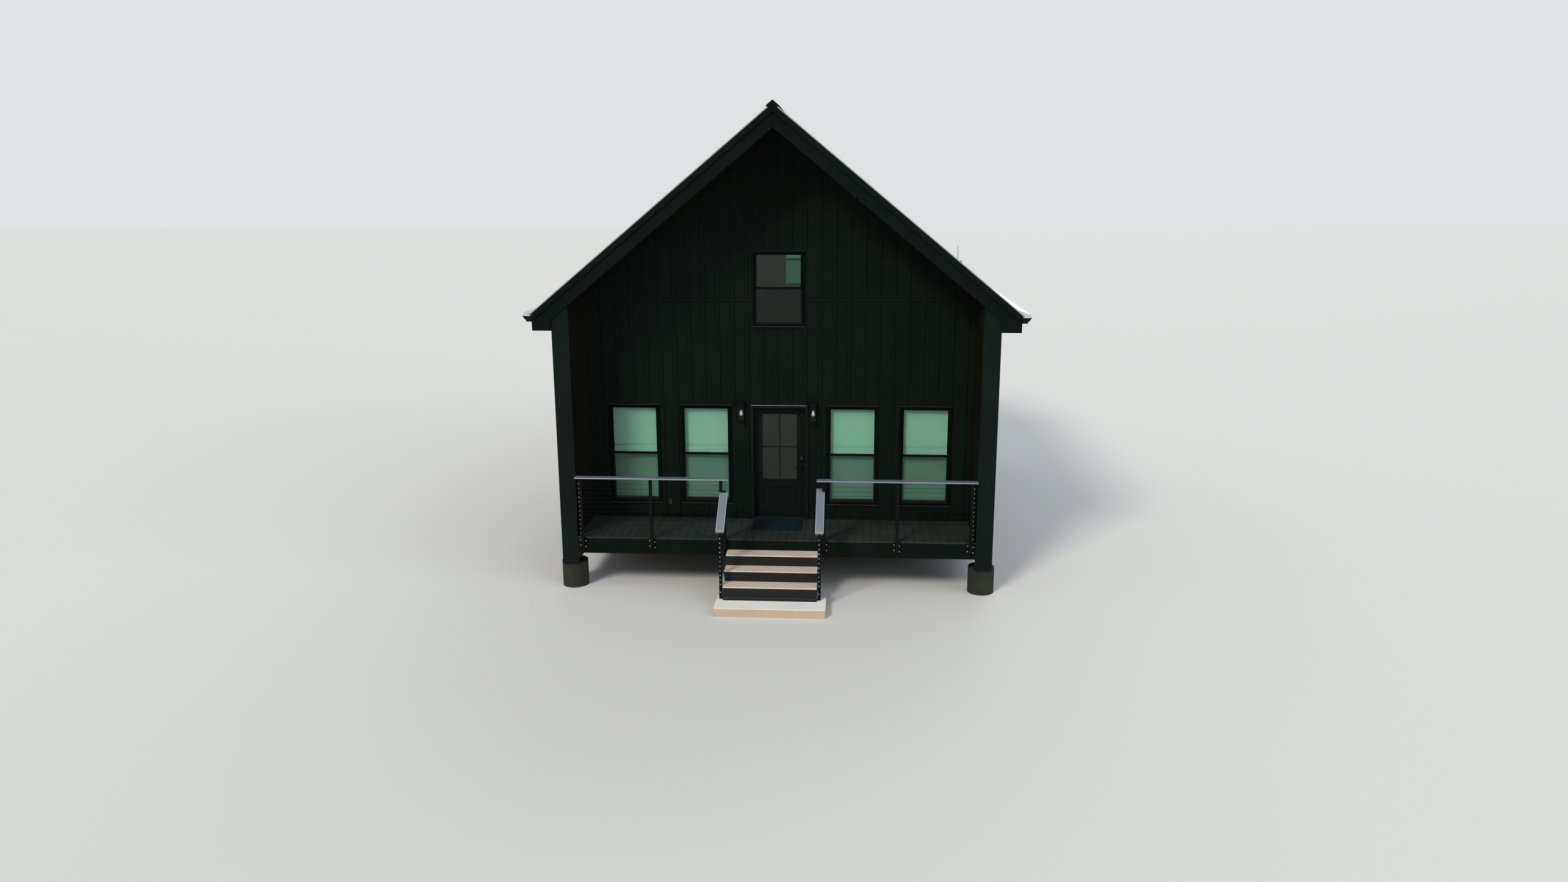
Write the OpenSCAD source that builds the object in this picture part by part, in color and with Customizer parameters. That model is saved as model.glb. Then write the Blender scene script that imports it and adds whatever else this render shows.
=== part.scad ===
// Gabled timber cabin on concrete piers: recessed porch between side walls,
// cable guard rails, front steps, double-hung windows and a door that swings in.
// Lengths are in millimetres. X runs across the front, Y to the back, Z up.
// House positions: y = 0 at the porch front, z = 0 at the lowest ground.

/* [Footprint] */
// Width over the corner boards
building_w = 7390; // [6400:10:8600]
// Length over the front and back corner boards
building_l = 9754; // [7600:10:12000]
// Depth of the porch, from its front to the front wall
porch_d = 1219; // [1000:10:1600]
// Thickness of the outer walls
wall_t = 180; // [150:5:220]
// Width of the corner boards
corner_w = 288; // [260:1:330]
// Thickness of the corner boards and of the gable boards
trim_t = 25; // [18:1:32]
// Length of the corner boards' side leg
corner_leg = 140; // [90:5:190]
// Thickness of the siding that runs down past the floor
skin_t = 30; // [20:1:40]

/* [Heights] */
// Height of the deck and the floor above the lowest ground
deck_h = 950; // [900:10:1200]
// Thickness of the deck boards and the floor boards
deck_t = 25; // [22:1:32]
// Depth of the floor joists
joist_h = 270; // [235:5:286]
// Depth of the beams on the piers
beam_h = 205; // [184:1:240]
// Height of the gable boards' lower edge at the corner boards, above the deck
eave_h = 3985; // [3700:5:4400]
// Height of the upper floor above the deck
storey_h = 2740; // [2700:10:2800]
// Thickness of the upper floor
upper_t = 250; // [200:5:300]

/* [Foundation] */
// Diameter of the round piers
pier_d = 450; // [350:10:480]
// Distance from the corner boards' face to the outer piers' centre
pier_side = 150; // [135:5:240]
// Distance from the porch front to the first piers' centre
pier_inset = 250; // [245:5:400]
// Number of piers in a row
pier_count = 5; // [4:1:6]
// Width of the beams
beam_w = 150; // [114:1:186]
// Thickness of a floor joist
joist_w = 38; // [36:1:50]
// Distance from one floor joist to the next
joist_pitch = 406; // [300:1:610]

/* [Roof] */
// Pitch of the roof in degrees
roof_pitch = 39.4; // [36:0.1:42]
// Thickness of the boards and shingles on the rafters
roofing_t = 25; // [18:1:36]
// Thickness of the roof from rafter tops to the ceiling
roof_t = 248; // [220:1:270]
// Width of the upper gable board
rake_w = 89; // [70:1:110]
// Width of the lower gable board
barge_w = 184; // [174:1:220]
// Distance from the corner boards to the eaves' face
eave_out = 317; // [250:1:400]
// Height of the eave fascia, from the soffit to the roof boards
fascia_h = 273; // [230:1:300]
// Thickness of the soffit boards
soffit_t = 12; // [9:1:18]
// Thickness of the eave fascia
fascia_t = 20; // [18:1:38]
// How far the shingles reach past the fascia
drip_out = 30; // [20:1:40]
// Width of each flap of the ridge vent
vent_flap = 130; // [100:1:160]
// Thickness of the ridge vent
vent_t = 24; // [16:1:30]

/* [Gutters] */
// Width of the gutters
gutter_w = 150; // [120:1:160]
// Height of the gutters
gutter_h = 92; // [80:1:110]
// Thickness of the gutter metal
gutter_t = 3; // [2:0.5:4]
// How far the gutters' upper edge hangs below the shingles' edge
gutter_drop = 5; // [2:1:20]
// Rise of the leaf guards over the gutters' edge
guard_rise = 70; // [55:1:85]

/* [Windows] */
// Width of a window
window_w = 920; // [800:5:950]
// Height of a window
window_h = 1822; // [1500:5:1850]
// Height of the windows' heads above the deck
window_head = 2100; // [2080:5:2200]
// Wall between the porch's side walls and the outer front windows
window_side = 346; // [250:1:420]
// Wall between the two windows of a pair
window_gap = 373; // [300:1:450]
// Width of the gable windows
gable_window_w = 912; // [800:2:1000]
// Height of the gable windows
gable_window_h = 1311; // [1100:5:1400]
// Height of the gable windows' sills above the upper floor
gable_sill = 755; // [600:5:900]
// Number of windows in each side wall
side_windows = 3; // [2:1:4]
// Face width of a window frame
frame_w = 30; // [25:1:36]
// Width of a sash's stiles and rails
sash_w = 34; // [28:1:40]
// Depth of a window frame in the wall
frame_depth = 80; // [76:1:90]
// How far the window frames stand out of the siding
frame_out = 20; // [12:1:30]
// Thickness of a sash
sash_t = 28; // [24:1:30]
// Thickness of the glass units
glass_t = 12; // [6:1:16]
// Thickness of a closed blind
blind_t = 8; // [6:1:12]

/* [Door] */
// Width of the door leaf
leaf_w = 914; // [813:1:914]
// Height of the door leaf
leaf_h = 2032; // [1981:1:2032]
// Thickness of the door leaf
leaf_t = 45; // [40:1:50]
// Gap round the door leaf
leaf_gap = 6; // [5.5:0.5:8]
// Height of the threshold
sill_h = 14; // [10:1:24]
// Thickness of the door jambs
jamb_t = 32; // [25:1:38]
// Width of the casing past the jambs' inner faces
casing_w = 57; // [50:1:70]
// Thickness of the door stops
stop_t = 14; // [12:1:16]
// Width of the door's glass
lite_w = 620; // [500:5:640]
// Height of the door's glass
lite_h = 1205; // [1000:5:1250]
// Height of the glass's lower edge above the leaf's lower edge
lite_up = 692; // [660:2:740]
// Height of the door's lower panel
panel_h = 315; // [250:5:340]
// Height of the door's rail between the glass and the lower panel
lock_rail_h = 135; // [110:1:160]
// Radius of the hinge knuckles
knuckle_r = 8; // [6:0.5:9]
// Height of a hinge
hinge_h = 100; // [80:5:120]
// Distance from the leaf's ends to the outer hinges
hinge_in = 180; // [130:5:230]
// Distance from the leaf's edge to the lever's spindle
backset = 60; // [60:1:70]
// Height of the lever's spindle above the leaf's lower edge
spindle_h = 910; // [880:1:980]
// Height of the deadbolt above the lever's spindle
bolt_up = 165; // [120:1:180]

/* [Rails] */
// Height of the porch guard above the deck
guard_h = 1080; // [900:1:1100]
// Width of the cap boards on the rails
cap_w = 140; // [100:1:150]
// Thickness of the cap boards
cap_t = 25; // [20:1:32]
// Width of a rail post
post_w = 51; // [44:1:56]
// Thickness of the plates that hold the posts to the porch
plate_t = 12; // [8:1:14]
// Height of those plates
plate_h = 165; // [130:5:190]
// How far the plates reach past a post on each side
plate_side = 32; // [20:1:40]
// Distance from the deck down to the plates' upper edge
plate_down = 15; // [10:1:40]
// Distance from the corner boards to the first posts' centre
post_inset = 88; // [60:1:110]
// Distance from the last porch posts' centre to the stair rails' centre
post_pair = 56; // [56:1:70]
// Clearance between the steps and the stair rails' posts
rail_gap = 14; // [8:1:20]
// Distance from the lowest riser's face back to the stair posts
stair_post_in = 50; // [30:1:90]
// Diameter of the cables
cable_d = 4; // [4:0.5:6]
// Height from one cable to the next
cable_pitch = 80; // [70:1:100]
// Height of the lowest porch cable above the deck
cable_low = 75; // [60:1:90]
// Least distance from the top cable to the cap boards
cable_top_gap = 50; // [40:1:60]
// Height of the stair rail above the steps' nosings
stair_rail_h = 922; // [865:1:940]
// Distance from the nosings' line down to the lowest stair cable
stair_cable_drop = 34; // [20:1:50]
// Gap between the left stair cap's upper end and its porch post
left_cap_gap = 40; // [20:1:60]

/* [Steps] */
// Clear width of the steps
stair_w = 1557; // [1200:1:1600]
// Sideways place of the steps' centre
stair_x = -35; // [-100:1:100]
// Number of risers
riser_count = 4; // [3:1:4]
// Height of a riser
riser_h = 190; // [170:1:200]
// Height of the lowest step above the pad
foot_riser_h = 236; // [190:1:240]
// Depth of a step from riser to riser
tread_run = 258; // [250:1:290]
// How far a tread stands past its riser
nosing = 13; // [10:1:32]
// Thickness of the stringers
stringer_t = 38; // [30:1:45]
// Thickness of the riser boards
riser_t = 20; // [16:1:25]
// Height of the board at the foot of the lowest riser
kick_h = 50; // [40:1:70]
// Thickness of that board
kick_t = 20; // [16:1:25]
// Width of the concrete pad
pad_w = 1824; // [1800:1:2000]
// How far the pad reaches in front of the lowest riser
pad_front = 389; // [300:1:500]
// How far the pad reaches behind the lowest riser
pad_back = 211; // [205:1:300]

/* [Fittings] */
// Distance from the door casing to the lanterns' centres
lantern_side = 120; // [90:1:160]
// Sideways place of the lanterns' middle
lantern_x = -28; // [-40:1:40]
// Width of a lantern
lantern_w = 104; // [90:1:120]
// Height of a lantern
lantern_h = 345; // [300:5:400]
// Height of the closed upper part of a lantern
housing_h = 104; // [80:1:120]
// Height of the lanterns' lower end above the deck
lantern_low = 1838; // [1780:1:1900]
// Outer diameter of the vent pipe
pipe_d = 89; // [60:1:114]
// Distance of the vent pipe from the eave's face
pipe_in = 551; // [400:1:900]
// Distance of the vent pipe from the porch front
pipe_y = 5000; // [3000:10:7000]
// Height of the vent pipe above the roof at its centre
pipe_up = 390; // [300:5:500]
// Width of the door mat
mat_w = 892; // [700:1:960]
// Sideways place of the door mat
mat_x = -14; // [-40:1:40]
// Depth of the door mat
mat_d = 660; // [400:5:700]
// Thickness of the door mat
mat_t = 10; // [6:1:16]

/* [Hidden] */
$fn = 32;

// Finishes
siding_colour = "#23282a";
trim_colour = "#262c30";
deck_colour = "#4b4742";
steel_colour = "#b9bec2";
concrete_colour = "#a9a8a2";

// Places across the building
face_x = building_w / 2;
skin_x = face_x - trim_t;
core_x = skin_x - skin_t;
side_in_x = skin_x - wall_t;
porch_x = face_x - corner_w;
eave_x = face_x + eave_out;

pier_xs = [-face_x + pier_side, 0, face_x - pier_side];

// Step places
stair_slope = riser_h / tread_run;
tread_count = riser_count - 1;
function riser_y(k) = -k * tread_run;
function tread_z(k) = deck_h - k * riser_h;
function nosing_z(y) = tread_z(1) + (y - riser_y(1) + nosing) * stair_slope;
foot_y = riser_y(tread_count);
pad_top = tread_z(tread_count) - foot_riser_h;

// Places along the building
wall_y = porch_d;
wall_in_y = wall_y + wall_t;
back_y = building_l - trim_t;
back_in_y = back_y - wall_t;
last_y = building_l + 2 * trim_t;
first_y = foot_y - pad_front;
middle_y = (first_y + last_y) / 2;

// Heights
frame_top = deck_h - deck_t;
frame_low = frame_top - joist_h;
pier_top = frame_low - beam_h;
upper_z = deck_h + storey_h;

// Roof planes: depth below the shingles is measured square to the slope
slope = tan(roof_pitch);
barge_depth = roofing_t + rake_w + barge_w;
ridge_z = deck_h + eave_h + porch_x * slope + barge_depth / cos(roof_pitch);
function roof_z(x, depth) = ridge_z - x * slope - depth / cos(roof_pitch);
function roof_x(z, depth) = (ridge_z - depth / cos(roof_pitch) - z) / slope;
ceiling_depth = roofing_t + roof_t;
mitre_gap = 3;
// Gap left under slopes that rest on other pieces
seat = 0.5;
wall_depth = ceiling_depth + seat;
soffit_z = roof_z(eave_x, roofing_t) - fascia_h;
gutter_z = roof_z(eave_x + drip_out, roofing_t) - gutter_drop;
pipe_x = eave_x - pipe_in;

// Door places
jamb_in = leaf_w / 2 + leaf_gap;
door_half = jamb_in + jamb_t;
leaf_low = deck_h + sill_h + leaf_gap;
leaf_top = leaf_low + leaf_h;
door_top = leaf_top + leaf_gap + jamb_t;
leaf_in_y = wall_in_y - 2;
leaf_y = leaf_in_y - leaf_t;
stop_depth = 30;
hinge_x = -leaf_w / 2 - leaf_gap / 2;
hinge_y = wall_in_y + knuckle_r + 1;
hinge_zs = [leaf_low + hinge_in, leaf_low + leaf_h / 2 - hinge_h / 2, leaf_top - hinge_in - hinge_h];
spindle_x = leaf_w / 2 - backset;

// Rail places
post_y = -plate_t - post_w;
post_mid_y = -plate_t - post_w / 2;
stair_post_y = foot_y + stair_post_in;
stair_rail_out = stair_w / 2 + rail_gap + post_w / 2;
stair_rail_xs = [stair_x - stair_rail_out, stair_x + stair_rail_out];
outer_post_x = porch_x - post_inset;
inner_posts = [stair_rail_xs[0] - post_pair, stair_rail_xs[1] + post_pair];
left_posts = [-outer_post_x, (inner_posts[0] - outer_post_x) / 2, inner_posts[0]];
right_posts = [outer_post_x, (inner_posts[1] + outer_post_x) / 2, inner_posts[1]];
cap_low = deck_h + guard_h - cap_t;
// Height of a sloping cap board, measured upright
cap_rise = cap_t / cos(atan(stair_slope));
cable_count = floor((guard_h - cap_t - cable_low - cable_top_gap) / cable_pitch) + 1;
stair_cable_count = floor((stair_rail_h - cap_rise + stair_cable_drop - cable_top_gap) / cable_pitch) + 1;

// Everything moves so that the origin is under the middle of the whole object
module place() {
    translate([0, -middle_y, 0]) children();
}

// A box between two corners
module box(low, high) {
    translate(low) cube(high - low);
}

// An outline in X and Z, drawn from one y to another
module along_y(y0, y1) {
    translate([0, y1, 0]) rotate([90, 0, 0]) linear_extrude(y1 - y0) children();
}

// An outline in Y and Z, drawn from one x to another
module along_x(x0, x1) {
    translate([x0, 0, 0]) rotate([90, 0, 90]) linear_extrude(x1 - x0) children();
}

// The same shape on both sides
module both_sides() {
    children();
    mirror([1, 0, 0]) children();
}

// A sheet of even thickness that follows a line of points
function unit_normal(a, b) = let(d = b - a) [-d[1], d[0]] / norm(d);
function joint_normal(p, i) = let(
    n1 = unit_normal(p[max(i - 1, 0)], p[max(i, 1)]),
    n2 = unit_normal(p[min(i, len(p) - 2)], p[min(i + 1, len(p) - 1)]),
    m = n1 + n2) 2 * m / (m * m);
function sheet(p, t) = concat(p, [for (i = [len(p) - 1 : -1 : 0]) p[i] + t * joint_normal(p, i)]);

// Foundation and floors

module piers() {
    ys = [for (i = [0 : pier_count - 1])
        pier_inset + i * (building_l - 2 * pier_inset) / (pier_count - 1)];
    color(concrete_colour)
        for (x = pier_xs, y = ys)
            translate([x, y, 0]) cylinder(h = pier_top, d = pier_d);
}

module beams() {
    color("#6b5a45")
        for (x = pier_xs)
            box([x - beam_w / 2, trim_t, pier_top], [x + beam_w / 2, back_y - skin_t, frame_low]);
}

module floor_joists() {
    y0 = trim_t;
    y1 = back_y - skin_t - joist_w;
    steps = floor((y1 - y0 - joist_w) / joist_pitch);
    color("#7a6850")
        for (y = concat([for (i = [0 : steps]) y0 + i * joist_pitch], y1))
            box([-core_x, y, frame_low], [core_x, y + joist_w, frame_top]);
}

module floor_boards() {
    color("#8a7458")
        box([-core_x, wall_y, frame_top], [core_x, back_y - skin_t, deck_h]);
}

module deck() {
    color(deck_colour) box([-porch_x, 0, frame_top], [porch_x, wall_y, deck_h]);
}

module rim_board() {
    color(deck_colour) box([-porch_x, 0, frame_low], [porch_x, trim_t, frame_top]);
}

module upper_floor() {
    color("#8a7458")
        box([-side_in_x, wall_in_y, upper_z - upper_t], [side_in_x, back_in_y, upper_z]);
}

// Walls

window_low = deck_h + window_head - window_h;
window_out = porch_x - window_side - window_w / 2;
window_in = window_out - window_w - window_gap;
front_window_xs = [-window_out, -window_in, window_in, window_out];
gable_sill_z = upper_z + gable_sill;
side_window_ys = [for (i = [0 : side_windows - 1])
    wall_in_y + (i + 0.5) * (back_in_y - wall_in_y) / side_windows];

// The hole that a window of this size fills, in a wall whose face is at y = 0
module window_hole(w, h) {
    box([-w / 2, -1, 0], [w / 2, wall_t + 1, h]);
}

module front_wall(x0, x1) {
    color(siding_colour) difference() {
        box([x0, wall_y, deck_h], [x1, wall_in_y, upper_z]);
        for (x = front_window_xs)
            translate([x, wall_y, window_low]) window_hole(window_w, window_h);
    }
}

module front_wall_left() {
    front_wall(-side_in_x, -door_half);
}

module front_wall_right() {
    front_wall(door_half, side_in_x);
}

module front_wall_head() {
    color(siding_colour)
        box([-door_half, wall_y, door_top], [door_half, wall_in_y, upper_z]);
}

// The wall above the upper floor, up to the ceiling planes
module gable_wall(y0, y1) {
    side_z = roof_z(side_in_x, wall_depth);
    color(siding_colour) difference() {
        along_y(y0, y1) polygon([[-side_in_x, upper_z], [side_in_x, upper_z],
            [side_in_x, side_z], [0, roof_z(0, wall_depth)], [-side_in_x, side_z]]);
        box([-gable_window_w / 2, y0 - 1, gable_sill_z],
            [gable_window_w / 2, y1 + 1, gable_sill_z + gable_window_h]);
    }
}

module front_gable() {
    gable_wall(wall_y, wall_in_y);
}

module back_gable() {
    gable_wall(back_in_y, back_y);
}

module back_wall() {
    color(siding_colour) difference() {
        union() {
            box([-side_in_x, back_in_y, deck_h], [side_in_x, back_y, upper_z]);
            box([-core_x, back_y - skin_t, pier_top], [core_x, back_y, deck_h + 1]);
        }
        for (x = front_window_xs)
            translate([x, back_in_y, window_low]) window_hole(window_w, window_h);
        both_sides() box([side_in_x, back_in_y, deck_h], [skin_x, back_y + 1, upper_z]);
    }
}

// A side wall's outline: a wall under the roof, with the siding running down past the floor
module side_outline(inner_x, floor_z) {
    polygon([[inner_x, floor_z], [core_x, floor_z], [core_x, pier_top], [skin_x, pier_top],
        [skin_x, roof_z(skin_x, wall_depth)], [inner_x, roof_z(inner_x, wall_depth)]]);
}

module side_wall_right() {
    color(siding_colour) difference() {
        along_y(wall_y, back_y) side_outline(side_in_x, deck_h);
        for (y = side_window_ys)
            translate([skin_x, y, window_low]) rotate(90) window_hole(window_w, window_h);
    }
}

module side_wall_left() {
    mirror([1, 0, 0]) side_wall_right();
}

module porch_walls() {
    color("#3a2f28") both_sides() along_y(trim_t, wall_y) side_outline(porch_x, frame_top);
}

// One corner: a wide board facing the end of the building and a leg round its side
module corner_board() {
    along_y(0, trim_t) polygon([[porch_x, pier_top], [face_x, pier_top],
        [face_x, roof_z(face_x, wall_depth)], [porch_x, roof_z(porch_x, wall_depth)]]);
    box([skin_x, trim_t - 1, pier_top], [face_x, corner_leg, soffit_z]);
}

module both_ends() {
    children();
    translate([0, building_l, 0]) mirror([0, 1, 0]) children();
}

module corner_boards() {
    color(trim_colour) both_ends() both_sides() corner_board();
}

// Roof

module roof_right() {
    tail_x = eave_x - fascia_t;
    tail_z = soffit_z + soffit_t;
    color("#3b3a37") along_y(0, building_l) polygon([
        [0, roof_z(0, roofing_t)], [tail_x, roof_z(tail_x, roofing_t)], [tail_x, tail_z],
        [roof_x(tail_z, ceiling_depth), tail_z], [0, roof_z(0, ceiling_depth)]]);
}

module roof_left() {
    mirror([1, 0, 0]) roof_right();
}

module roofing() {
    gap = 10;
    low_x = eave_x + drip_out;
    color("#2c2d2f") both_sides() along_y(-2 * trim_t, last_y) polygon([
        [gap, roof_z(gap, 0)], [low_x, roof_z(low_x, 0)],
        [low_x, roof_z(low_x, roofing_t)], [gap, roof_z(gap, roofing_t)]]);
}

module ridge_vent() {
    x = vent_flap * cos(roof_pitch);
    color("#2c2d2f") along_y(-2 * trim_t, last_y) polygon([
        [-x, roof_z(x, 0)], [0, roof_z(0, 0)], [x, roof_z(x, 0)],
        [x, roof_z(x, -vent_t)], [0, roof_z(0, -vent_t)], [-x, roof_z(x, -vent_t)]]);
}

// Gable boards of one slope: a lower board, and a thicker narrow one over it
module rake_board() {
    x0 = mitre_gap / 2;
    rake_depth = roofing_t + rake_w;
    along_y(-trim_t, 0) polygon([
        [x0, roof_z(x0, rake_depth - 1)], [eave_x, roof_z(eave_x, rake_depth - 1)],
        [eave_x, soffit_z], [roof_x(soffit_z, barge_depth), soffit_z],
        [x0, roof_z(x0, barge_depth)]]);
    along_y(-2 * trim_t, 0) polygon([
        [x0, roof_z(x0, roofing_t)], [eave_x, roof_z(eave_x, roofing_t)],
        [eave_x, roof_z(eave_x, rake_depth)], [x0, roof_z(x0, rake_depth)]]);
}

module rake_boards() {
    color(trim_colour) both_ends() both_sides() rake_board();
}

// Soffit, fascia and the end panels that close the box
module eave_box() {
    fascia_x = eave_x - fascia_t;
    box([face_x, 0, soffit_z], [eave_x, building_l, soffit_z + soffit_t]);
    box([skin_x, corner_leg, soffit_z], [face_x + 1, building_l - corner_leg, soffit_z + soffit_t]);
    along_y(0, building_l) polygon([[fascia_x, soffit_z], [eave_x, soffit_z],
        [eave_x, roof_z(eave_x, roofing_t)], [fascia_x, roof_z(fascia_x, roofing_t)]]);
    both_ends() along_y(-trim_t, 0.5) polygon([[face_x, soffit_z],
        [roof_x(soffit_z, barge_depth), soffit_z], [face_x, roof_z(face_x, barge_depth)]]);
}

module eave_boxes() {
    color(trim_colour) both_sides() eave_box();
}

// Gutter line from the back edge, round the floor and up the moulded front
gutter_line = [[0, gutter_h], [0, 0], [0.58 * gutter_w, 0], [0.64 * gutter_w, 0.34 * gutter_h],
    [0.8 * gutter_w, 0.5 * gutter_h], [0.9 * gutter_w, 0.8 * gutter_h],
    [gutter_w, 0.86 * gutter_h], [gutter_w, gutter_h]];

module gutters() {
    color(trim_colour) both_sides()
        translate([eave_x, 0, gutter_z - gutter_h]) {
            along_y(-trim_t, building_l + trim_t) polygon(sheet(gutter_line, gutter_t));
            both_ends() along_y(-trim_t, gutter_t - trim_t) polygon(gutter_line);
        }
}

// Bowed leaf guard from the gutter's edge up on to the shingles
module gutter_guards() {
    lip_x = eave_x + gutter_w;
    lip_z = gutter_z;
    end_z = lip_z + 1.75 * guard_rise;
    line = [[lip_x, lip_z + gutter_t / 2], [lip_x - 8, lip_z + 0.45 * guard_rise],
        [lip_x - 30, lip_z + 0.85 * guard_rise], [lip_x - 62, lip_z + guard_rise],
        [roof_x(end_z, -gutter_t), end_z]];
    color(steel_colour) both_sides()
        along_y(-trim_t, building_l + trim_t) polygon(sheet(line, gutter_t));
}

// Windows

// A ring in X and Z between an outer and an inner rectangle
module ring(y0, y1, outer_low, outer_high, inner_low, inner_high) {
    difference() {
        box([outer_low[0], y0, outer_low[1]], [outer_high[0], y1, outer_high[1]]);
        box([inner_low[0], y0 - 1, inner_low[1]], [inner_high[0], y1 + 1, inner_high[1]]);
    }
}

// Sash rings: the upper one runs in the outer track, the lower one in the inner track
lap = 8;
foot_h = 30;
bottom_rail = 40;
meet_up = 32;
blind_foot = 40;
function sash_half(w) = w / 2 - frame_w - sash_w;
function meet_z(h) = 0.5 * h + meet_up;
function upper_glass(w, h) = [[-sash_half(w), meet_z(h)], [sash_half(w), h - frame_w - sash_w + lap]];
function lower_glass(w, h) = [[-sash_half(w), foot_h + bottom_rail], [sash_half(w), meet_z(h) - sash_w]];
upper_y = 4;
lower_y = upper_y + sash_t + 2;

// A double-hung window: its face at y = 0 is the siding, x = 0 its middle, z = 0 its foot
module window_frame(w, h) {
    ug = upper_glass(w, h);
    lg = lower_glass(w, h);
    ring(-frame_out, frame_depth, [-w / 2, 0], [w / 2, h],
        [-w / 2 + frame_w, foot_h], [w / 2 - frame_w, h - frame_w]);
    ring(upper_y, lower_y, [-w / 2 + frame_w - 1, meet_z(h) - sash_w],
        [w / 2 - frame_w + 1, h - frame_w + 1], ug[0], ug[1]);
    ring(lower_y, lower_y + sash_t, [-w / 2 + frame_w - 1, foot_h - 1],
        [w / 2 - frame_w + 1, meet_z(h)], lg[0], lg[1]);
    box([-w / 2 - 12, -frame_out - 14, h], [w / 2 + 12, 0, h + 8]);
    box([-w / 2 - 6, -frame_out - 12, 0], [w / 2 + 6, 0, 16]);
}

module window_panes(w, h) {
    for (p = [[upper_glass(w, h), upper_y], [lower_glass(w, h), lower_y]])
        box([p[0][0][0], p[1] + (sash_t - glass_t) / 2, p[0][0][1]],
            [p[0][1][0], p[1] + (sash_t + glass_t) / 2, p[0][1][1]]);
}

// A closed blind behind the frame, which stops above the lower rail
module blind(w, h) {
    low = foot_h + bottom_rail + blind_foot;
    box([-w / 2 + 12, frame_depth + 10, low], [w / 2 - 12, frame_depth + 10 + blind_t, h]);
}

// Puts a window's parts in the front or back wall, which are alike
module front_windows() {
    for (x = front_window_xs) translate([x, wall_y, window_low]) children();
}

module back_windows() {
    for (x = front_window_xs)
        translate([x, back_y, window_low]) rotate(180) children();
}

module side_windows_at() {
    for (y = side_window_ys) {
        translate([skin_x, y, window_low]) rotate(90) children();
        translate([-skin_x, y, window_low]) rotate(-90) children();
    }
}

module gable_window_front() {
    translate([0, wall_y, gable_sill_z]) children();
}

module gable_window_back() {
    translate([0, back_y, gable_sill_z]) rotate(180) children();
}

module window_frames_front() {
    color(trim_colour) {
        front_windows() window_frame(window_w, window_h);
        gable_window_front() window_frame(gable_window_w, gable_window_h);
    }
}

module window_frames_back() {
    color(trim_colour) {
        back_windows() window_frame(window_w, window_h);
        gable_window_back() window_frame(gable_window_w, gable_window_h);
    }
}

module window_frames_sides() {
    color(trim_colour) side_windows_at() window_frame(window_w, window_h);
}

module window_glass() {
    color("#9fb7b0") {
        front_windows() window_panes(window_w, window_h);
        back_windows() window_panes(window_w, window_h);
        side_windows_at() window_panes(window_w, window_h);
        gable_window_front() window_panes(gable_window_w, gable_window_h);
        gable_window_back() window_panes(gable_window_w, gable_window_h);
    }
}

module blinds() {
    color("#dfe6dc") {
        front_windows() blind(window_w, window_h);
        back_windows() blind(window_w, window_h);
        side_windows_at() blind(window_w, window_h);
    }
}

// Door

module door_frame() {
    low = deck_h;
    head = door_top - jamb_t;
    color(trim_colour) {
        both_sides() {
            box([jamb_in, wall_y, low], [door_half, wall_in_y, door_top]);
            box([jamb_in - stop_t, leaf_y - leaf_gap - stop_depth, low + sill_h],
                [jamb_in + 1, leaf_y - leaf_gap, head + 1]);
            box([jamb_in, wall_y - trim_t, low],
                [jamb_in + casing_w, wall_y, head + casing_w - 16]);
        }
        box([-door_half, wall_y, head], [door_half, wall_in_y, door_top]);
        box([-jamb_in, leaf_y - leaf_gap - stop_depth, head - stop_t],
            [jamb_in, leaf_y - leaf_gap, head + 1]);
        box([-jamb_in - casing_w, wall_y - trim_t, head],
            [jamb_in + casing_w, wall_y, head + casing_w - 16]);
        box([-jamb_in - casing_w - 12, wall_y - trim_t - 14, head + casing_w - 16],
            [jamb_in + casing_w + 12, wall_y, head + casing_w - 8]);
    }
}

module threshold() {
    color(steel_colour) along_x(-jamb_in, jamb_in) polygon([
        [wall_y - trim_t, deck_h], [wall_in_y, deck_h], [wall_in_y, deck_h + sill_h],
        [leaf_y - 30, deck_h + sill_h], [wall_y - trim_t, deck_h + sill_h / 2]]);
}

lite_low = leaf_low + lite_up;
bead = 26;

module door_leaf() {
    panel_w = lite_w + 10;
    panel_low = lite_low - lock_rail_h - panel_h;
    color(trim_colour) {
        difference() {
            box([-leaf_w / 2, leaf_y, leaf_low], [leaf_w / 2, leaf_in_y, leaf_top]);
            box([-lite_w / 2, leaf_y - 1, lite_low], [lite_w / 2, leaf_in_y + 1, lite_low + lite_h]);
            for (y = [[leaf_y - 1, leaf_y + 10], [leaf_in_y - 10, leaf_in_y + 1]])
                ring(y[0], y[1], [-panel_w / 2, panel_low], [panel_w / 2, panel_low + panel_h],
                    [-panel_w / 2 + 34, panel_low + 34], [panel_w / 2 - 34, panel_low + panel_h - 34]);
        }
        for (y = [[leaf_y - 6, leaf_y + 1], [leaf_in_y - 1, leaf_in_y + 6]])
            ring(y[0], y[1], [-lite_w / 2 - bead, lite_low - bead],
                [lite_w / 2 + bead, lite_low + lite_h + bead],
                [-lite_w / 2, lite_low], [lite_w / 2, lite_low + lite_h]);
    }
}

module door_glass() {
    mid = (leaf_y + leaf_in_y) / 2;
    color("#9fb7b0")
        box([-lite_w / 2, mid - glass_t / 2, lite_low], [lite_w / 2, mid + glass_t / 2, lite_low + lite_h]);
}

// A lever on its rose, standing out of a face at y = 0 towards -Y
module lever() {
    rotate([90, 0, 0]) cylinder(h = 12, r = 27);
    rotate([90, 0, 0]) cylinder(h = 52, r = 10);
    translate([-9, -58, -9]) cube([18, 18, 18]);
    translate([-105, -58, -8]) cube([105, 14, 16]);
}

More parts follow.
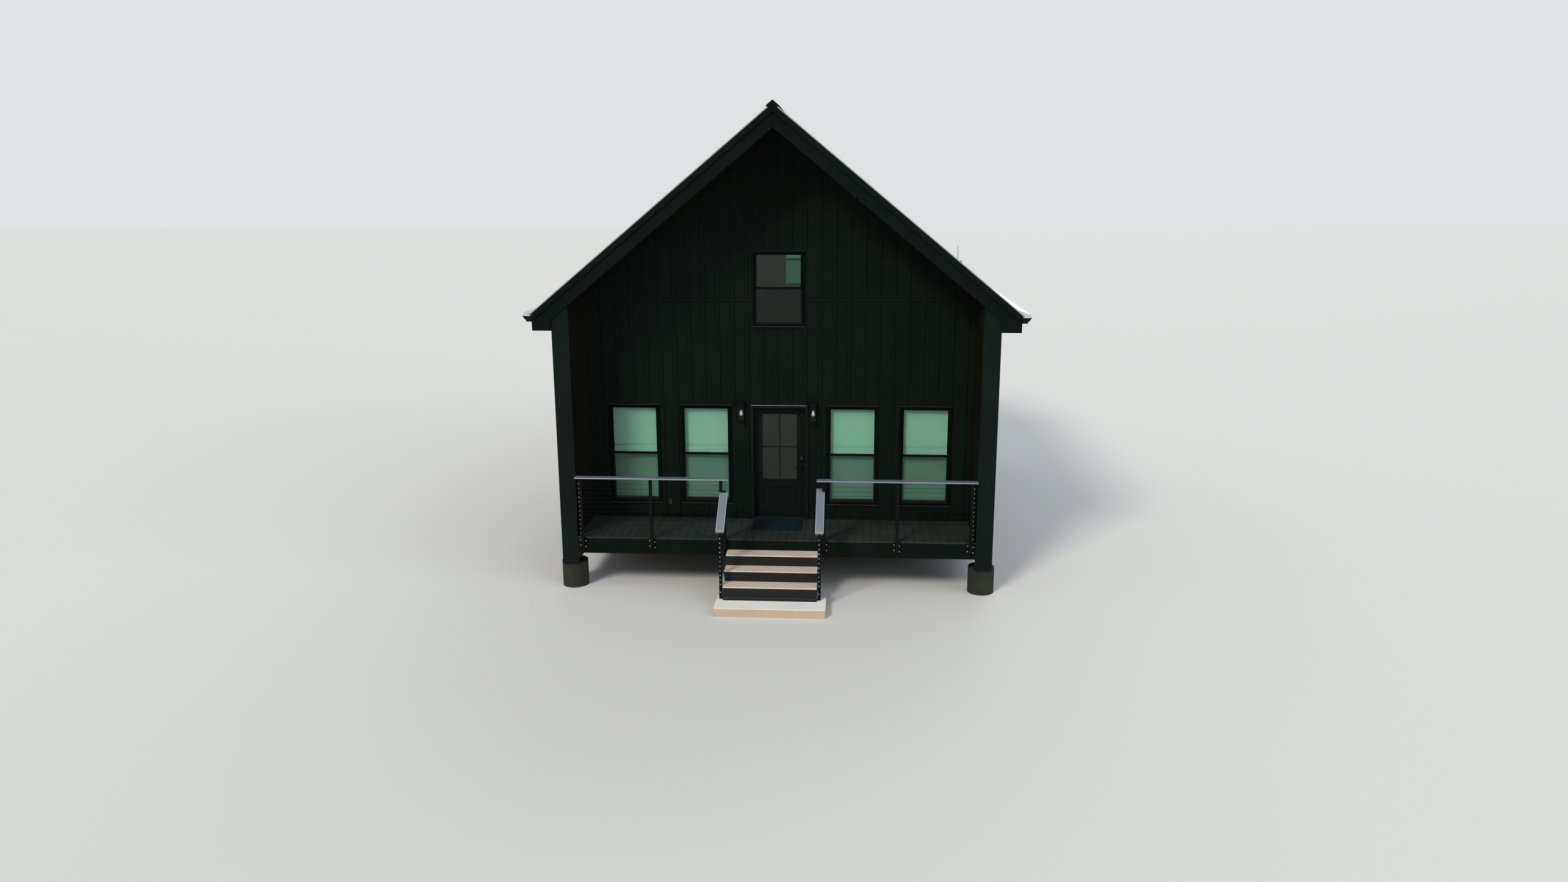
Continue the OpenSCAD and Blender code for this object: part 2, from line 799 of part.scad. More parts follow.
module door_hardware() {
    spindle_z = leaf_low + spindle_h;
    bolt_z = spindle_z + bolt_up;
    color(steel_colour) {
        translate([spindle_x, leaf_y, spindle_z]) lever();
        translate([spindle_x, leaf_in_y, spindle_z]) mirror([0, 1, 0]) lever();
        box([spindle_x - 30, leaf_y - 22, bolt_z - 57], [spindle_x + 30, leaf_y, bolt_z + 57]);
        translate([spindle_x, leaf_in_y, bolt_z]) rotate([-90, 0, 0]) cylinder(h = 14, r = 27);
        box([spindle_x - 5, leaf_in_y + 13, bolt_z - 20], [spindle_x + 5, leaf_in_y + 34, bolt_z + 20]);
    }
}

// Hinges: two outer knuckles turn with the door, the middle one stays on the frame
knuckle_h = hinge_h / 3;
knuckle_gap = 1;

module knuckle(z, h) {
    translate([hinge_x, hinge_y, z]) cylinder(h = h, r = knuckle_r);
}

module door_hinges() {
    color(steel_colour) for (z = hinge_zs) {
        box([-leaf_w / 2 + 1, leaf_in_y, z], [-leaf_w / 2 + 40, leaf_in_y + 3, z + hinge_h]);
        for (k = [z, z + hinge_h - knuckle_h]) {
            knuckle(k, knuckle_h);
            box([-leaf_w / 2 + 1, leaf_in_y, k], [hinge_x + knuckle_r + 1, hinge_y, k + knuckle_h]);
        }
    }
}

module frame_hinges() {
    color(steel_colour) for (z = hinge_zs) {
        low = z + knuckle_h + knuckle_gap;
        high = z + hinge_h - knuckle_h - knuckle_gap;
        knuckle(low, high - low);
        box([-door_half, wall_in_y, low], [hinge_x - 2, wall_in_y + 3, high]);
        box([hinge_x - knuckle_r - 1, wall_in_y, low], [hinge_x - 2, hinge_y, high]);
    }
}

// Lanterns: a square housing over a glazed cage, on an arm from a wall plate

lantern_reach = lantern_w / 2 + 36;
cage_half = lantern_w / 2 - 4;
cage_high = lantern_h - housing_h;
bar = 7;
lantern_base = 9;
lid_t = 8;

// A square slab round the lantern's middle
module lantern_block(half, low, high) {
    box([-half, -half, low], [half, half, high]);
}

module lantern() {
    plate_half = 0.4 * lantern_w;
    box([-plate_half, -14, cage_high - housing_h / 2], [plate_half, 0, lantern_h - lid_t]);
    translate([0, -lantern_reach, 0]) {
        lantern_block(lantern_w / 2, 0, lantern_base);
        lantern_block(lantern_w / 2, cage_high, lantern_h - lid_t + 1);
        lantern_block(lantern_w / 2 + 4, lantern_h - lid_t, lantern_h);
        for (x = [-cage_half, cage_half - bar], y = [-cage_half, cage_half - bar])
            box([x, y, lantern_base - 1], [x + bar, y + bar, cage_high + 1]);
        translate([0, 0, cage_high - 24]) cylinder(h = 25, r = 13);
    }
    box([-14, -lantern_reach, cage_high + 24], [14, -10, cage_high + 52]);
}

module lantern_panes() {
    inner = cage_half - bar;
    translate([0, -lantern_reach, 0])
        for (a = [0 : 90 : 270]) rotate(a)
            box([-inner, inner + 2, lantern_base], [inner, inner + 5, cage_high]);
}

module lanterns_at() {
    for (side = [-1, 1])
        translate([lantern_x + side * (jamb_in + casing_w + lantern_side), wall_y,
            deck_h + lantern_low]) children();
}

module lanterns() {
    color("#1b1c1d") lanterns_at() lantern();
}

module lantern_glass() {
    color("#cfd8d8") lanterns_at() lantern_panes();
}

// Rails

// A post held to the porch edge by a plate
module porch_post(x, top) {
    plate_top = deck_h - plate_down;
    plate_half = post_w / 2 + plate_side;
    box([x - post_w / 2, post_y, plate_top - plate_h], [x + post_w / 2, -plate_t, top]);
    box([x - plate_half, -plate_t - 1, plate_top - plate_h], [x + plate_half, 0, plate_top]);
}

// Height of the stair rail's underside at a place along Y
function rail_low(y) = nosing_z(y) + stair_rail_h - cap_rise;

module stair_post(x) {
    along_x(x - post_w / 2, x + post_w / 2) polygon([
        [stair_post_y, pad_top], [stair_post_y + post_w, pad_top],
        [stair_post_y + post_w, rail_low(stair_post_y + post_w) - seat],
        [stair_post_y, rail_low(stair_post_y) - seat]]);
}

// A sloping tongue under a stair cap's upper end
module cap_tongue(x) {
    y0 = post_y - left_cap_gap - 60;
    along_x(x - 20, x + 20) polygon([[y0, rail_low(y0) - seat - 8], [post_y + 1, rail_low(post_y) - seat - 8],
        [post_y + 1, rail_low(post_y) - seat], [y0, rail_low(y0) - seat]]);
}

module rail_posts() {
    color("#2a2b2c") {
        for (x = concat(left_posts, right_posts)) porch_post(x, cap_low);
        for (x = stair_rail_xs) stair_post(x);
        porch_post(stair_rail_xs[0], rail_low(post_y) + cap_rise / 2);
        porch_post(stair_rail_xs[1], rail_low(post_y) - seat);
        cap_tongue(stair_rail_xs[0]);
    }
}

module stair_cap(x, y0, y1) {
    along_x(x - cap_w / 2, x + cap_w / 2) polygon([[y0, rail_low(y0)], [y1, rail_low(y1)],
        [y1, rail_low(y1) + cap_rise], [y0, rail_low(y0) + cap_rise]]);
}

module rail_caps() {
    y0 = post_mid_y - cap_w / 2;
    end_left = stair_rail_xs[0] + cap_w / 2;
    end_right = stair_rail_xs[1] - cap_w / 2;
    low_y = stair_post_y - 26;
    notch_x = inner_posts[1] - post_w / 2 - 2;
    color("#4a4f54") {
        box([-porch_x, y0, cap_low], [end_left, y0 + cap_w, cap_low + cap_t]);
        box([end_right, y0, cap_low], [porch_x, y0 + cap_w, cap_low + cap_t]);
        stair_cap(stair_rail_xs[0], low_y, post_y - left_cap_gap);
        difference() {
            stair_cap(stair_rail_xs[1], low_y, -plate_t);
            box([notch_x, post_y - 2, pad_top], [notch_x + cap_w, 0, cap_low]);
        }
    }
}

// A level cable between two posts' faces
module level_cable(x0, x1, z) {
    translate([x0, post_mid_y, z]) rotate([0, 90, 0]) cylinder(h = x1 - x0, d = cable_d, $fn = 8);
}

// A sloping cable, cut off by the two posts' faces
module stair_cable(x, up) {
    y0 = stair_post_y + post_w;
    reach = post_y - y0;
    intersection() {
        translate([x, y0, nosing_z(y0) + up]) rotate([atan(stair_slope) - 90, 0, 0])
            translate([0, 0, -reach]) cylinder(h = 4 * reach, d = cable_d, $fn = 8);
        box([x - post_w / 2, y0, pad_top], [x + post_w / 2, post_y, cap_low]);
    }
}

module rail_cables() {
    color(steel_colour) {
        for (posts = [left_posts, right_posts], i = [0, 1], k = [0 : cable_count - 1])
            level_cable(min(posts[i], posts[i + 1]) + post_w / 2,
                max(posts[i], posts[i + 1]) - post_w / 2, deck_h + cable_low + k * cable_pitch);
        for (x = stair_rail_xs, k = [0 : stair_cable_count - 1])
            stair_cable(x, k * cable_pitch - stair_cable_drop);
    }
}

// Steps

stringer_foot = 200;

// One stringer: its outline steps down under the treads and stands on the pad
module stringer(x0) {
    steps = [for (k = [1 : tread_count], p = [0, 1])
        [p == 0 ? (k == 1 ? 0 : riser_y(k - 1) + riser_t) : riser_y(k) + riser_t,
            tread_z(k) - deck_t]];
    foot = foot_y + riser_t;
    heel = foot_y + stringer_foot;
    along_x(x0, x0 + stringer_t) polygon(concat(steps, [[foot, pad_top], [heel, pad_top],
        [0, pad_top - heel * stair_slope]]));
}

module stair_frame() {
    x0 = stair_x - stair_w / 2;
    x1 = stair_x + stair_w / 2;
    color("#3d3c3b") {
        for (x = [x0, stair_x - stringer_t / 2, x1 - stringer_t]) stringer(x);
        for (k = [1 : tread_count])
            box([x0, riser_y(k), k == tread_count ? pad_top : tread_z(k + 1) - deck_t],
                [x1, riser_y(k) + riser_t + 1, tread_z(k) - deck_t]);
        box([x0, foot_y - kick_t, pad_top], [x1, foot_y + 1, pad_top + kick_h]);
    }
}

module stair_treads() {
    color("#a98f83")
        for (k = [1 : tread_count])
            box([stair_x - stair_w / 2, riser_y(k) - nosing, tread_z(k) - deck_t],
                [stair_x + stair_w / 2, riser_y(k - 1), tread_z(k)]);
}

module stair_pad() {
    color(concrete_colour)
        box([stair_x + 20 - pad_w / 2, foot_y - pad_front, 0],
            [stair_x + 20 + pad_w / 2, foot_y + pad_back, pad_top]);
}

// Vent pipe on the right slope, with its flashing

module vent_pipe() {
    base_z = roof_z(pipe_x, 0);
    wall = 5;
    color("#e9eae6") difference() {
        translate([pipe_x, pipe_y, base_z - pipe_d]) cylinder(h = pipe_d + pipe_up, d = pipe_d);
        translate([pipe_x, pipe_y, base_z + 60]) cylinder(h = pipe_up, d = pipe_d - 2 * wall);
        along_y(pipe_y - pipe_d, pipe_y + pipe_d) polygon([
            [pipe_x - pipe_d, roof_z(pipe_x - pipe_d, -seat)],
            [pipe_x + pipe_d, roof_z(pipe_x + pipe_d, -seat)],
            [pipe_x + pipe_d, base_z - 3 * pipe_d], [pipe_x - pipe_d, base_z - 3 * pipe_d]]);
    }
}

module door_mat() {
    color("#3a4352")
        box([mat_x - mat_w / 2, wall_y - trim_t - 30 - mat_d, deck_h],
            [mat_x + mat_w / 2, wall_y - trim_t - 30, deck_h + mat_t]);
}

place() piers();
place() beams();
place() floor_joists();
place() floor_boards();  // floor
place() deck();
place() rim_board();
place() front_wall_left();
place() front_wall_right();
place() front_wall_head();
place() front_gable();
place() back_wall();
place() back_gable();
place() side_wall_left();
place() side_wall_right();
place() porch_walls();
place() corner_boards();
place() upper_floor();
place() roof_left();
place() roof_right();
place() roofing();
place() ridge_vent();
place() rake_boards();
place() eave_boxes();
place() gutters();
place() gutter_guards();
place() window_frames_front();
place() window_frames_sides();
place() window_frames_back();
place() window_glass();
place() blinds();
place() door_frame();
place() threshold();
place() door_leaf();
place() door_glass();
place() door_hardware();
place() door_hinges();
place() frame_hinges();
place() lanterns();
place() lantern_glass();
place() rail_posts();
place() rail_caps();
place() rail_cables();
place() stair_frame();
place() stair_treads();
place() stair_pad();
place() vent_pipe();
place() door_mat();
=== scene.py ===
# Looks for the gabled cabin: finishes, boards, battens, shingles and fittings
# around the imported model. Lengths are in metres, in the model's own frame.
import math
import random

import bpy
from mathutils import Matrix, Vector


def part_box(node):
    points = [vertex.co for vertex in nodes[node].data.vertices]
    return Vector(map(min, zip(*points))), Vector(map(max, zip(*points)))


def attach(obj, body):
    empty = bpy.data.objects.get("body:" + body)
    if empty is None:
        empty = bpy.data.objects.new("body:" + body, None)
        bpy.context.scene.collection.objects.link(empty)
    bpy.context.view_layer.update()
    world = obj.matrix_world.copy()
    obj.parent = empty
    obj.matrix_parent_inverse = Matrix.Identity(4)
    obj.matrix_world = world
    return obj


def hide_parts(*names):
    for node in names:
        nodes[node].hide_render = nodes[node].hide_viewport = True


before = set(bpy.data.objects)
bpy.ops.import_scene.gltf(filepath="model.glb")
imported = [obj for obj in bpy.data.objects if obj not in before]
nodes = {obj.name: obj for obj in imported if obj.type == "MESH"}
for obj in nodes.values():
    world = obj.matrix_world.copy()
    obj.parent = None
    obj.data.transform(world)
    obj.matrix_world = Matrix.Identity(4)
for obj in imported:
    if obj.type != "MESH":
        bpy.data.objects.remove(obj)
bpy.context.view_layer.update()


def hexColour(text):
    # sRGB hex to the linear values that shaders take
    parts = [int(text[i:i + 2], 16) / 255 for i in (1, 3, 5)]
    return tuple(v / 12.92 if v <= 0.04045 else ((v + 0.055) / 1.055) ** 2.4 for v in parts) + (1.0,)


def addNode(tree, kind, settings=None, links=None):
    node = tree.nodes.new(kind)
    for key, value in (settings or {}).items():
        if isinstance(key, int) or key in node.inputs:
            node.inputs[key].default_value = value
        else:
            setattr(node, key, value)
    for key, source in (links or {}).items():
        tree.links.new(source, node.inputs[key])
    return node


def startMaterial(name, shaderSettings):
    # An empty material with one Principled shader wired to its output
    material = bpy.data.materials.new(name)
    material.use_nodes = True
    tree = material.node_tree
    tree.nodes.clear()
    shader = addNode(tree, "ShaderNodeBsdfPrincipled", shaderSettings)
    addNode(tree, "ShaderNodeOutputMaterial", links={"Surface": shader.outputs["BSDF"]})
    place = addNode(tree, "ShaderNodeTexCoord").outputs["Object"]
    return material, tree, shader, place


def grainedSurface(name, look):
    # Stretched noise for grain, broad noise for fading, and both in colour, roughness and bump
    material, tree, shader, place = startMaterial(
        name, {"Specular IOR Level": look.get("specular", 0.4), "Metallic": look.get("metallic", 0.0)})
    if "turn" in look:
        # The two slopes mirror each other, so the grain is turned about |x|
        parts = addNode(tree, "ShaderNodeSeparateXYZ", links={0: place})
        side = addNode(tree, "ShaderNodeMath", {"operation": "ABSOLUTE"}, {0: parts.outputs["X"]})
        place = addNode(tree, "ShaderNodeCombineXYZ", links={
            "X": side.outputs[0], "Y": parts.outputs["Y"], "Z": parts.outputs["Z"]}).outputs[0]
    laid = addNode(tree, "ShaderNodeMapping", {
        "Scale": look["grain"], "Rotation": (0.0, look.get("turn", 0.0), 0.0)}, {"Vector": place})
    grain = addNode(tree, "ShaderNodeTexNoise", {
        "Scale": 1.0, "Detail": 5.0, "Roughness": 0.62, "Distortion": 0.5},
        {"Vector": laid.outputs[0]})
    broad = addNode(tree, "ShaderNodeTexNoise", {
        "Scale": look.get("broad", 1.3), "Detail": 3.0}, {"Vector": place})
    tone = addNode(tree, "ShaderNodeMath", {"operation": "MULTIPLY_ADD", 1: 0.45},
                   {0: broad.outputs["Fac"], 2: grain.outputs["Fac"]})
    spread = addNode(tree, "ShaderNodeMapRange", {"From Min": 0.42, "From Max": 1.02},
                     {"Value": tone.outputs[0]})
    colour = addNode(tree, "ShaderNodeMix", {
        "data_type": "RGBA", 6: hexColour(look["dark"]), 7: hexColour(look["pale"])},
        {0: spread.outputs[0]})
    rough = addNode(tree, "ShaderNodeMapRange", {
        "To Min": look["rough"][0], "To Max": look["rough"][1]}, {"Value": grain.outputs["Fac"]})
    bump = addNode(tree, "ShaderNodeBump", {
        "Strength": look.get("strength", 0.5), "Distance": look.get("bump", 0.001)},
        {"Height": grain.outputs["Fac"]})
    tree.links.new(colour.outputs[2], shader.inputs["Base Color"])
    tree.links.new(rough.outputs[0], shader.inputs["Roughness"])
    tree.links.new(bump.outputs[0], shader.inputs["Normal"])
    return material


def deselect():
    if bpy.context.object and bpy.context.object.mode != "OBJECT":
        bpy.ops.object.mode_set(mode="OBJECT")
    bpy.ops.object.select_all(action="DESELECT")


def choose(piece):
    deselect()
    piece.select_set(True)
    bpy.context.view_layer.objects.active = piece


def settle(piece):
    # The finished piece sits at the origin with its place in its mesh
    choose(piece)
    bpy.ops.object.transform_apply(location=True, rotation=True, scale=True)


def easeEdges(piece, width, segments=1, angle=35):
    choose(piece)
    bevel = piece.modifiers.new("ease", "BEVEL")
    bevel.width = width
    bevel.segments = segments
    bevel.limit_method = "ANGLE"
    bevel.angle_limit = math.radians(angle)
    bpy.ops.object.modifier_apply(modifier=bevel.name)


def boardSet(name, boxes, ease=0.0, segments=1):
    # One board for each (low corner, high corner), added in edit mode and eased at its edges
    deselect()
    piece = None
    for low, high in boxes:
        low, high = Vector(low), Vector(high)
        bpy.ops.mesh.primitive_cube_add(size=1, location=(low + high) / 2, scale=high - low)
        if piece is None:
            piece = bpy.context.object
            piece.name = name
            bpy.ops.object.transform_apply(location=True, rotation=True, scale=True)
            bpy.ops.object.mode_set(mode="EDIT")
    bpy.ops.object.mode_set(mode="OBJECT")
    if ease:
        easeEdges(piece, ease, segments)
    return piece


def putAt(piece, matrix):
    piece.matrix_world = matrix
    settle(piece)


def duplicate(piece, matrix):
    # A copy with its own mesh, not yet settled
    copy = piece.copy()
    copy.data = piece.data.copy()
    bpy.context.scene.collection.objects.link(copy)
    copy.matrix_world = matrix
    return copy


def copyTo(piece, places, name):
    # A copy with its own mesh at each (location, turn about Z), joined under one name
    copies = [duplicate(piece, Matrix.Translation(location) @ Matrix.Rotation(turn, 4, "Z"))
              for location, turn in places]
    deselect()
    for copy in copies:
        copy.select_set(True)
    bpy.context.view_layer.objects.active = copies[0]
    bpy.ops.object.transform_apply(location=True, rotation=True, scale=True)
    bpy.ops.object.join()
    joined = bpy.context.object
    joined.name = name
    bpy.data.objects.remove(piece)
    return joined


def bothSlopes(piece, low, high, name):
    # The piece and its twin, turned half round over low..high, for the other slope
    return copyTo(piece, [((0, 0, 0), 0), ((0, low + high, 0), math.pi)], name)


def joinPieces(pieces, name):
    deselect()
    for piece in pieces:
        piece.select_set(True)
    bpy.context.view_layer.objects.active = pieces[0]
    bpy.ops.object.join()
    pieces[0].name = name
    return pieces[0]


def repeat(piece, count, step):
    choose(piece)
    array = piece.modifiers.new("row", "ARRAY")
    array.use_relative_offset = False
    array.use_constant_offset = True
    array.constant_offset_displace = step
    array.count = count
    bpy.ops.object.modifier_apply(modifier=array.name)


def cutAway(piece, point, normal):
    # Removes what lies on the normal's side of a plane and closes the cut
    choose(piece)
    bpy.ops.object.mode_set(mode="EDIT")
    bpy.ops.mesh.select_all(action="SELECT")
    bpy.ops.mesh.bisect(plane_co=point, plane_no=normal, use_fill=True, clear_outer=True)
    bpy.ops.object.mode_set(mode="OBJECT")


def shapeAt(piece, test, move=(0, 0, 0), grow=(1, 1, 1), centre=(0, 0, 0)):
    # Moves and scales the vertices that pass a test of their place
    choose(piece)
    for polygon in piece.data.polygons:
        polygon.select = False
    for edge in piece.data.edges:
        edge.select = False
    for vertex in piece.data.vertices:
        vertex.select = bool(test(vertex.co))
    bpy.ops.object.mode_set(mode="EDIT")
    bpy.ops.mesh.select_mode(type="VERT")
    bpy.ops.transform.resize(value=grow, center_override=centre)
    bpy.ops.transform.translate(value=move)
    bpy.ops.object.mode_set(mode="OBJECT")


def turned(name, profile, sides=24):
    # A filled circle drawn out along Z through (radius, height) steps
    deselect()
    radius, level = profile[0]
    bpy.ops.mesh.primitive_circle_add(vertices=sides, radius=radius, fill_type="NGON",
                                      location=(0, 0, level))
    piece = bpy.context.object
    piece.name = name
    settle(piece)
    bpy.ops.object.mode_set(mode="EDIT")
    bpy.ops.mesh.select_all(action="SELECT")
    for wide, high in profile[1:]:
        bpy.ops.mesh.extrude_region_move(TRANSFORM_OT_translate={"value": (0, 0, high - level)})
        bpy.ops.transform.resize(value=(wide / radius, wide / radius, 1), center_override=(0, 0, high))
        radius, level = wide, high
    bpy.ops.mesh.select_all(action="SELECT")
    bpy.ops.mesh.normals_make_consistent(inside=False)
    bpy.ops.object.mode_set(mode="OBJECT")
    bpy.ops.object.shade_smooth_by_angle(angle=math.radians(40))
    return piece


def layDown(piece):
    # Turns a piece that stands along Z so that its top faces the front
    piece.rotation_euler = (math.pi / 2, 0, 0)
    settle(piece)
    return piece


def roundRod(name, radius, start, end, sides=16, ease=0.0):
    # A turned rod from start to end, with eased rims
    start, end = Vector(start), Vector(end)
    run = end - start
    deselect()
    bpy.ops.mesh.primitive_cylinder_add(vertices=sides, radius=radius, depth=run.length,
                                        location=(start + end) / 2,
                                        rotation=run.to_track_quat("Z", "Y").to_euler())
    piece = bpy.context.object
    piece.name = name
    settle(piece)
    if ease:
        easeEdges(piece, ease, 2, 60)
    bpy.ops.object.shade_smooth_by_angle(angle=math.radians(40))
    return piece


def dress(piece, material, body, replaces=()):
    # Finish and body of a new piece, and hides the CAD nodes it replaces
    piece.data.materials.clear()
    piece.data.materials.append(material)
    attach(piece, body)
    if replaces:
        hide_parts(*replaces)


def solidBoxes(node):
    # The lowest and highest corner of each separate solid in a CAD node
    mesh = nodes[node].data
    keys = [tuple(round(c, 5) for c in v.co) for v in mesh.vertices]
    parent = {key: key for key in keys}

    def root(key):
        while parent[key] != key:
            parent[key] = parent[parent[key]]
            key = parent[key]
        return key

    for polygon in mesh.polygons:
        first, *rest = [root(keys[i]) for i in polygon.vertices]
        for other in rest:
            parent[root(other)] = root(first)
    boxes = {}
    for key in set(keys):
        low, high = boxes.setdefault(root(key), ([9e9] * 3, [-9e9] * 3))
        for i in range(3):
            low[i] = min(low[i], key[i])
            high[i] = max(high[i], key[i])
    return [(Vector(low), Vector(high)) for low, high in sorted(boxes.values())]


# Main sizes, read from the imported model
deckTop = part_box("deck")[1].z
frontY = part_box("deck")[0].y
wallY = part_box("front_wall_left")[0].y
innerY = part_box("front_wall_left")[1].y
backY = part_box("back_wall")[1].y
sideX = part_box("side_wall_right")[1].x
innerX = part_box("side_wall_right")[0].x
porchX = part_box("deck")[1].x
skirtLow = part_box("side_wall_right")[0].z
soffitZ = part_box("eave_boxes")[0].z
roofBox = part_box("roofing")
slope = math.radians(39.4)
ridgeFlat = 0.010  # how far from the middle the roofing's top edge lies
ridgeZ = roofBox[1].z + ridgeFlat * math.tan(slope)
roofDepth = 0.273  # from the roof's plane to the underside of what carries it
stairPitch = math.atan(0.190 / 0.258)  # a step's rise over its run


def roofZ(x, depth=0.0):
    # Height of the roof's plane over x, at a depth below the shingles
    return ridgeZ - abs(x) * math.tan(slope) - depth / math.cos(slope)


def slopeAt(place):
    # Flat work laid down the right-hand slope from a place
    return Matrix.Translation(place) @ Matrix.Rotation(slope, 4, "Y")


# The photo's viewpoint; angles in degrees
cameraPlace = {"lens": 24.72, "place": (1.257, -21.8465, 6.730),
               "yaw": -3.57, "down": 12.97, "roll": -0.163}


def makeCamera():
    yaw, down, roll = (math.radians(cameraPlace[k]) for k in ("yaw", "down", "roll"))
    forward = Vector((math.sin(yaw) * math.cos(down), math.cos(yaw) * math.cos(down), -math.sin(down)))
    right = Vector((math.cos(yaw), -math.sin(yaw), 0))
    up = right.cross(forward)
    across = right * math.cos(roll) + up * math.sin(roll)
    upright = up * math.cos(roll) - right * math.sin(roll)
    deselect()
    bpy.ops.object.camera_add(location=cameraPlace["place"])
    camera = bpy.context.object
    camera.name = "photo_camera"
    turn = Matrix((across, upright, -forward)).transposed()
    camera.rotation_euler = turn.to_euler()
    camera.data.lens = cameraPlace["lens"]
    camera.data.sensor_width = 36
    camera.data.clip_end = 400
    bpy.context.scene.camera = camera


# Wide, even lamps: where each stands, how strong it is and how soft its shadow
lampPlaces = {
    "key_lamp": {"place": (-9, -15, 13), "strength": 2.0, "spread": 14, "colour": "#fff6ea"},
    "fill_lamp": {"place": (15, -10, 9), "strength": 0.9, "spread": 50, "colour": "#eaf1ff"},
    "back_lamp": {"place": (4, 17, 10), "strength": 0.9, "spread": 50, "colour": "#f4f6ff"},
}
worldLook = {"lights": "#eef2f6", "strength": 0.5, "seen": "#dfe2e2"}
floorLook = {"size": 400, "colour": "#d6d8d6"}


def makeStage():
    for name, lamp in lampPlaces.items():
        deselect()
        bpy.ops.object.light_add(type="SUN", location=lamp["place"])
        light = bpy.context.object
        light.name = name
        light.data.energy = lamp["strength"]
        light.data.angle = math.radians(lamp["spread"])
        light.data.color = hexColour(lamp["colour"])[:3]
        aim = -light.location
        light.rotation_euler = aim.to_track_quat("-Z", "Y").to_euler()
    world = bpy.data.worlds.new("studio")
    bpy.context.scene.world = world
    world.use_nodes = True
    tree = world.node_tree
    tree.nodes.clear()
    rays = addNode(tree, "ShaderNodeLightPath")
    seen = addNode(tree, "ShaderNodeMath", {"operation": "MAXIMUM"},
                   {0: rays.outputs["Is Camera Ray"], 1: rays.outputs["Is Transmission Ray"]})
    shown = addNode(tree, "ShaderNodeMath", {"operation": "MAXIMUM"},
                    {0: seen.outputs[0], 1: rays.outputs["Is Glossy Ray"]})
    lit = addNode(tree, "ShaderNodeBackground", {
        "Color": hexColour(worldLook["lights"]), "Strength": worldLook["strength"]})
    backdrop = addNode(tree, "ShaderNodeBackground", {
        "Color": hexColour(worldLook["seen"]), "Strength": 1.0})
    mix = addNode(tree, "ShaderNodeMixShader",
                  links={0: shown.outputs[0], 1: lit.outputs[0], 2: backdrop.outputs[0]})
    addNode(tree, "ShaderNodeOutputWorld", links={"Surface": mix.outputs[0]})
    deselect()
    bpy.ops.mesh.primitive_plane_add(size=floorLook["size"])
    floor = bpy.context.object
    floor.name = "studio_floor"
    material = startMaterial("studio floor paint", {
        "Base Color": hexColour(floorLook["colour"]), "Roughness": 0.9, "Specular IOR Level": 0.2})[0]
    floor.data.materials.append(material)


makeCamera()
makeStage()
print("stage: camera, lamps and floor")


# Grain is in streaks to the metre along x, y and z, coarser than real grain so that it shows.
# Engineered wood siding under dark acrylic, darkened by painted shade and greened by a painted foliage
# reflection: embossed upright grain, nearly no shine
sidingLook = {"dark": "#070f0b", "pale": "#121c17", "grain": (150, 150, 5), "rough": (0.5, 0.75),
              "bump": 0.0014, "strength": 0.6, "specular": 0.05}
# The same paint on wide trim boards: a deeper grain, and a little bluer, a painted reflection of sky on
# painted shade
trimLook = {"dark": "#070f0d", "pale": "#151f1c", "grain": (90, 90, 6), "rough": (0.5, 0.75),
            "bump": 0.0035, "strength": 0.8, "specular": 0.06}
# Those boards where they rake and lie level: the grain follows their length
rakeLook = dict(trimLook, dark="#060c0a", pale="#101a17", grain=(6, 90, 90), turn=-slope, specular=0.04)
levelLook = dict(trimLook, dark="#060d0a", pale="#111b16", grain=(6, 90, 90), specular=0.04)
# Capped composite decking: a shallow moulded grain, dull, darkened to a green-grey by painted shade
shadedDeckLook = {"dark": "#1a201e", "pale": "#37403d", "grain": (160, 5, 160), "rough": (0.55, 0.8),
            "bump": 0.0008, "strength": 0.4, "specular": 0.12}
# The treads' boards: the same composite and grain, painted a pale pinkish grey as if in sunlight
sunlitTreadLook = dict(shadedDeckLook, dark="#b5a498", pale="#ddcfc3", grain=(5, 160, 160))
# Pressure-treated pine, rough sawn: dull yellow-brown with a furry grain, darkened by painted shade
lumberLook = {"dark": "#463b2b", "pale": "#716149", "grain": (4, 90, 90), "rough": (0.7, 0.9),
              "bump": 0.0015, "strength": 0.6, "specular": 0.25}
# Stair stringers and risers in brushed black paint: faded, with the wood's grain through it
stairLook = {"dark": "#121313", "pale": "#262828", "grain": (5, 120, 120), "rough": (0.5, 0.75),
             "bump": 0.001, "strength": 0.5, "specular": 0.14}
# Boards on the porch's side walls, the dark siding with warm light painted in as brown: dark and matt, with
# warm streaks
porchWarmLightLook = {"dark": "#090a07", "pale": "#1d1b14", "grain": (150, 150, 5), "rough": (0.55, 0.8),
                 "bump": 0.0014, "strength": 0.6, "specular": 0.05}

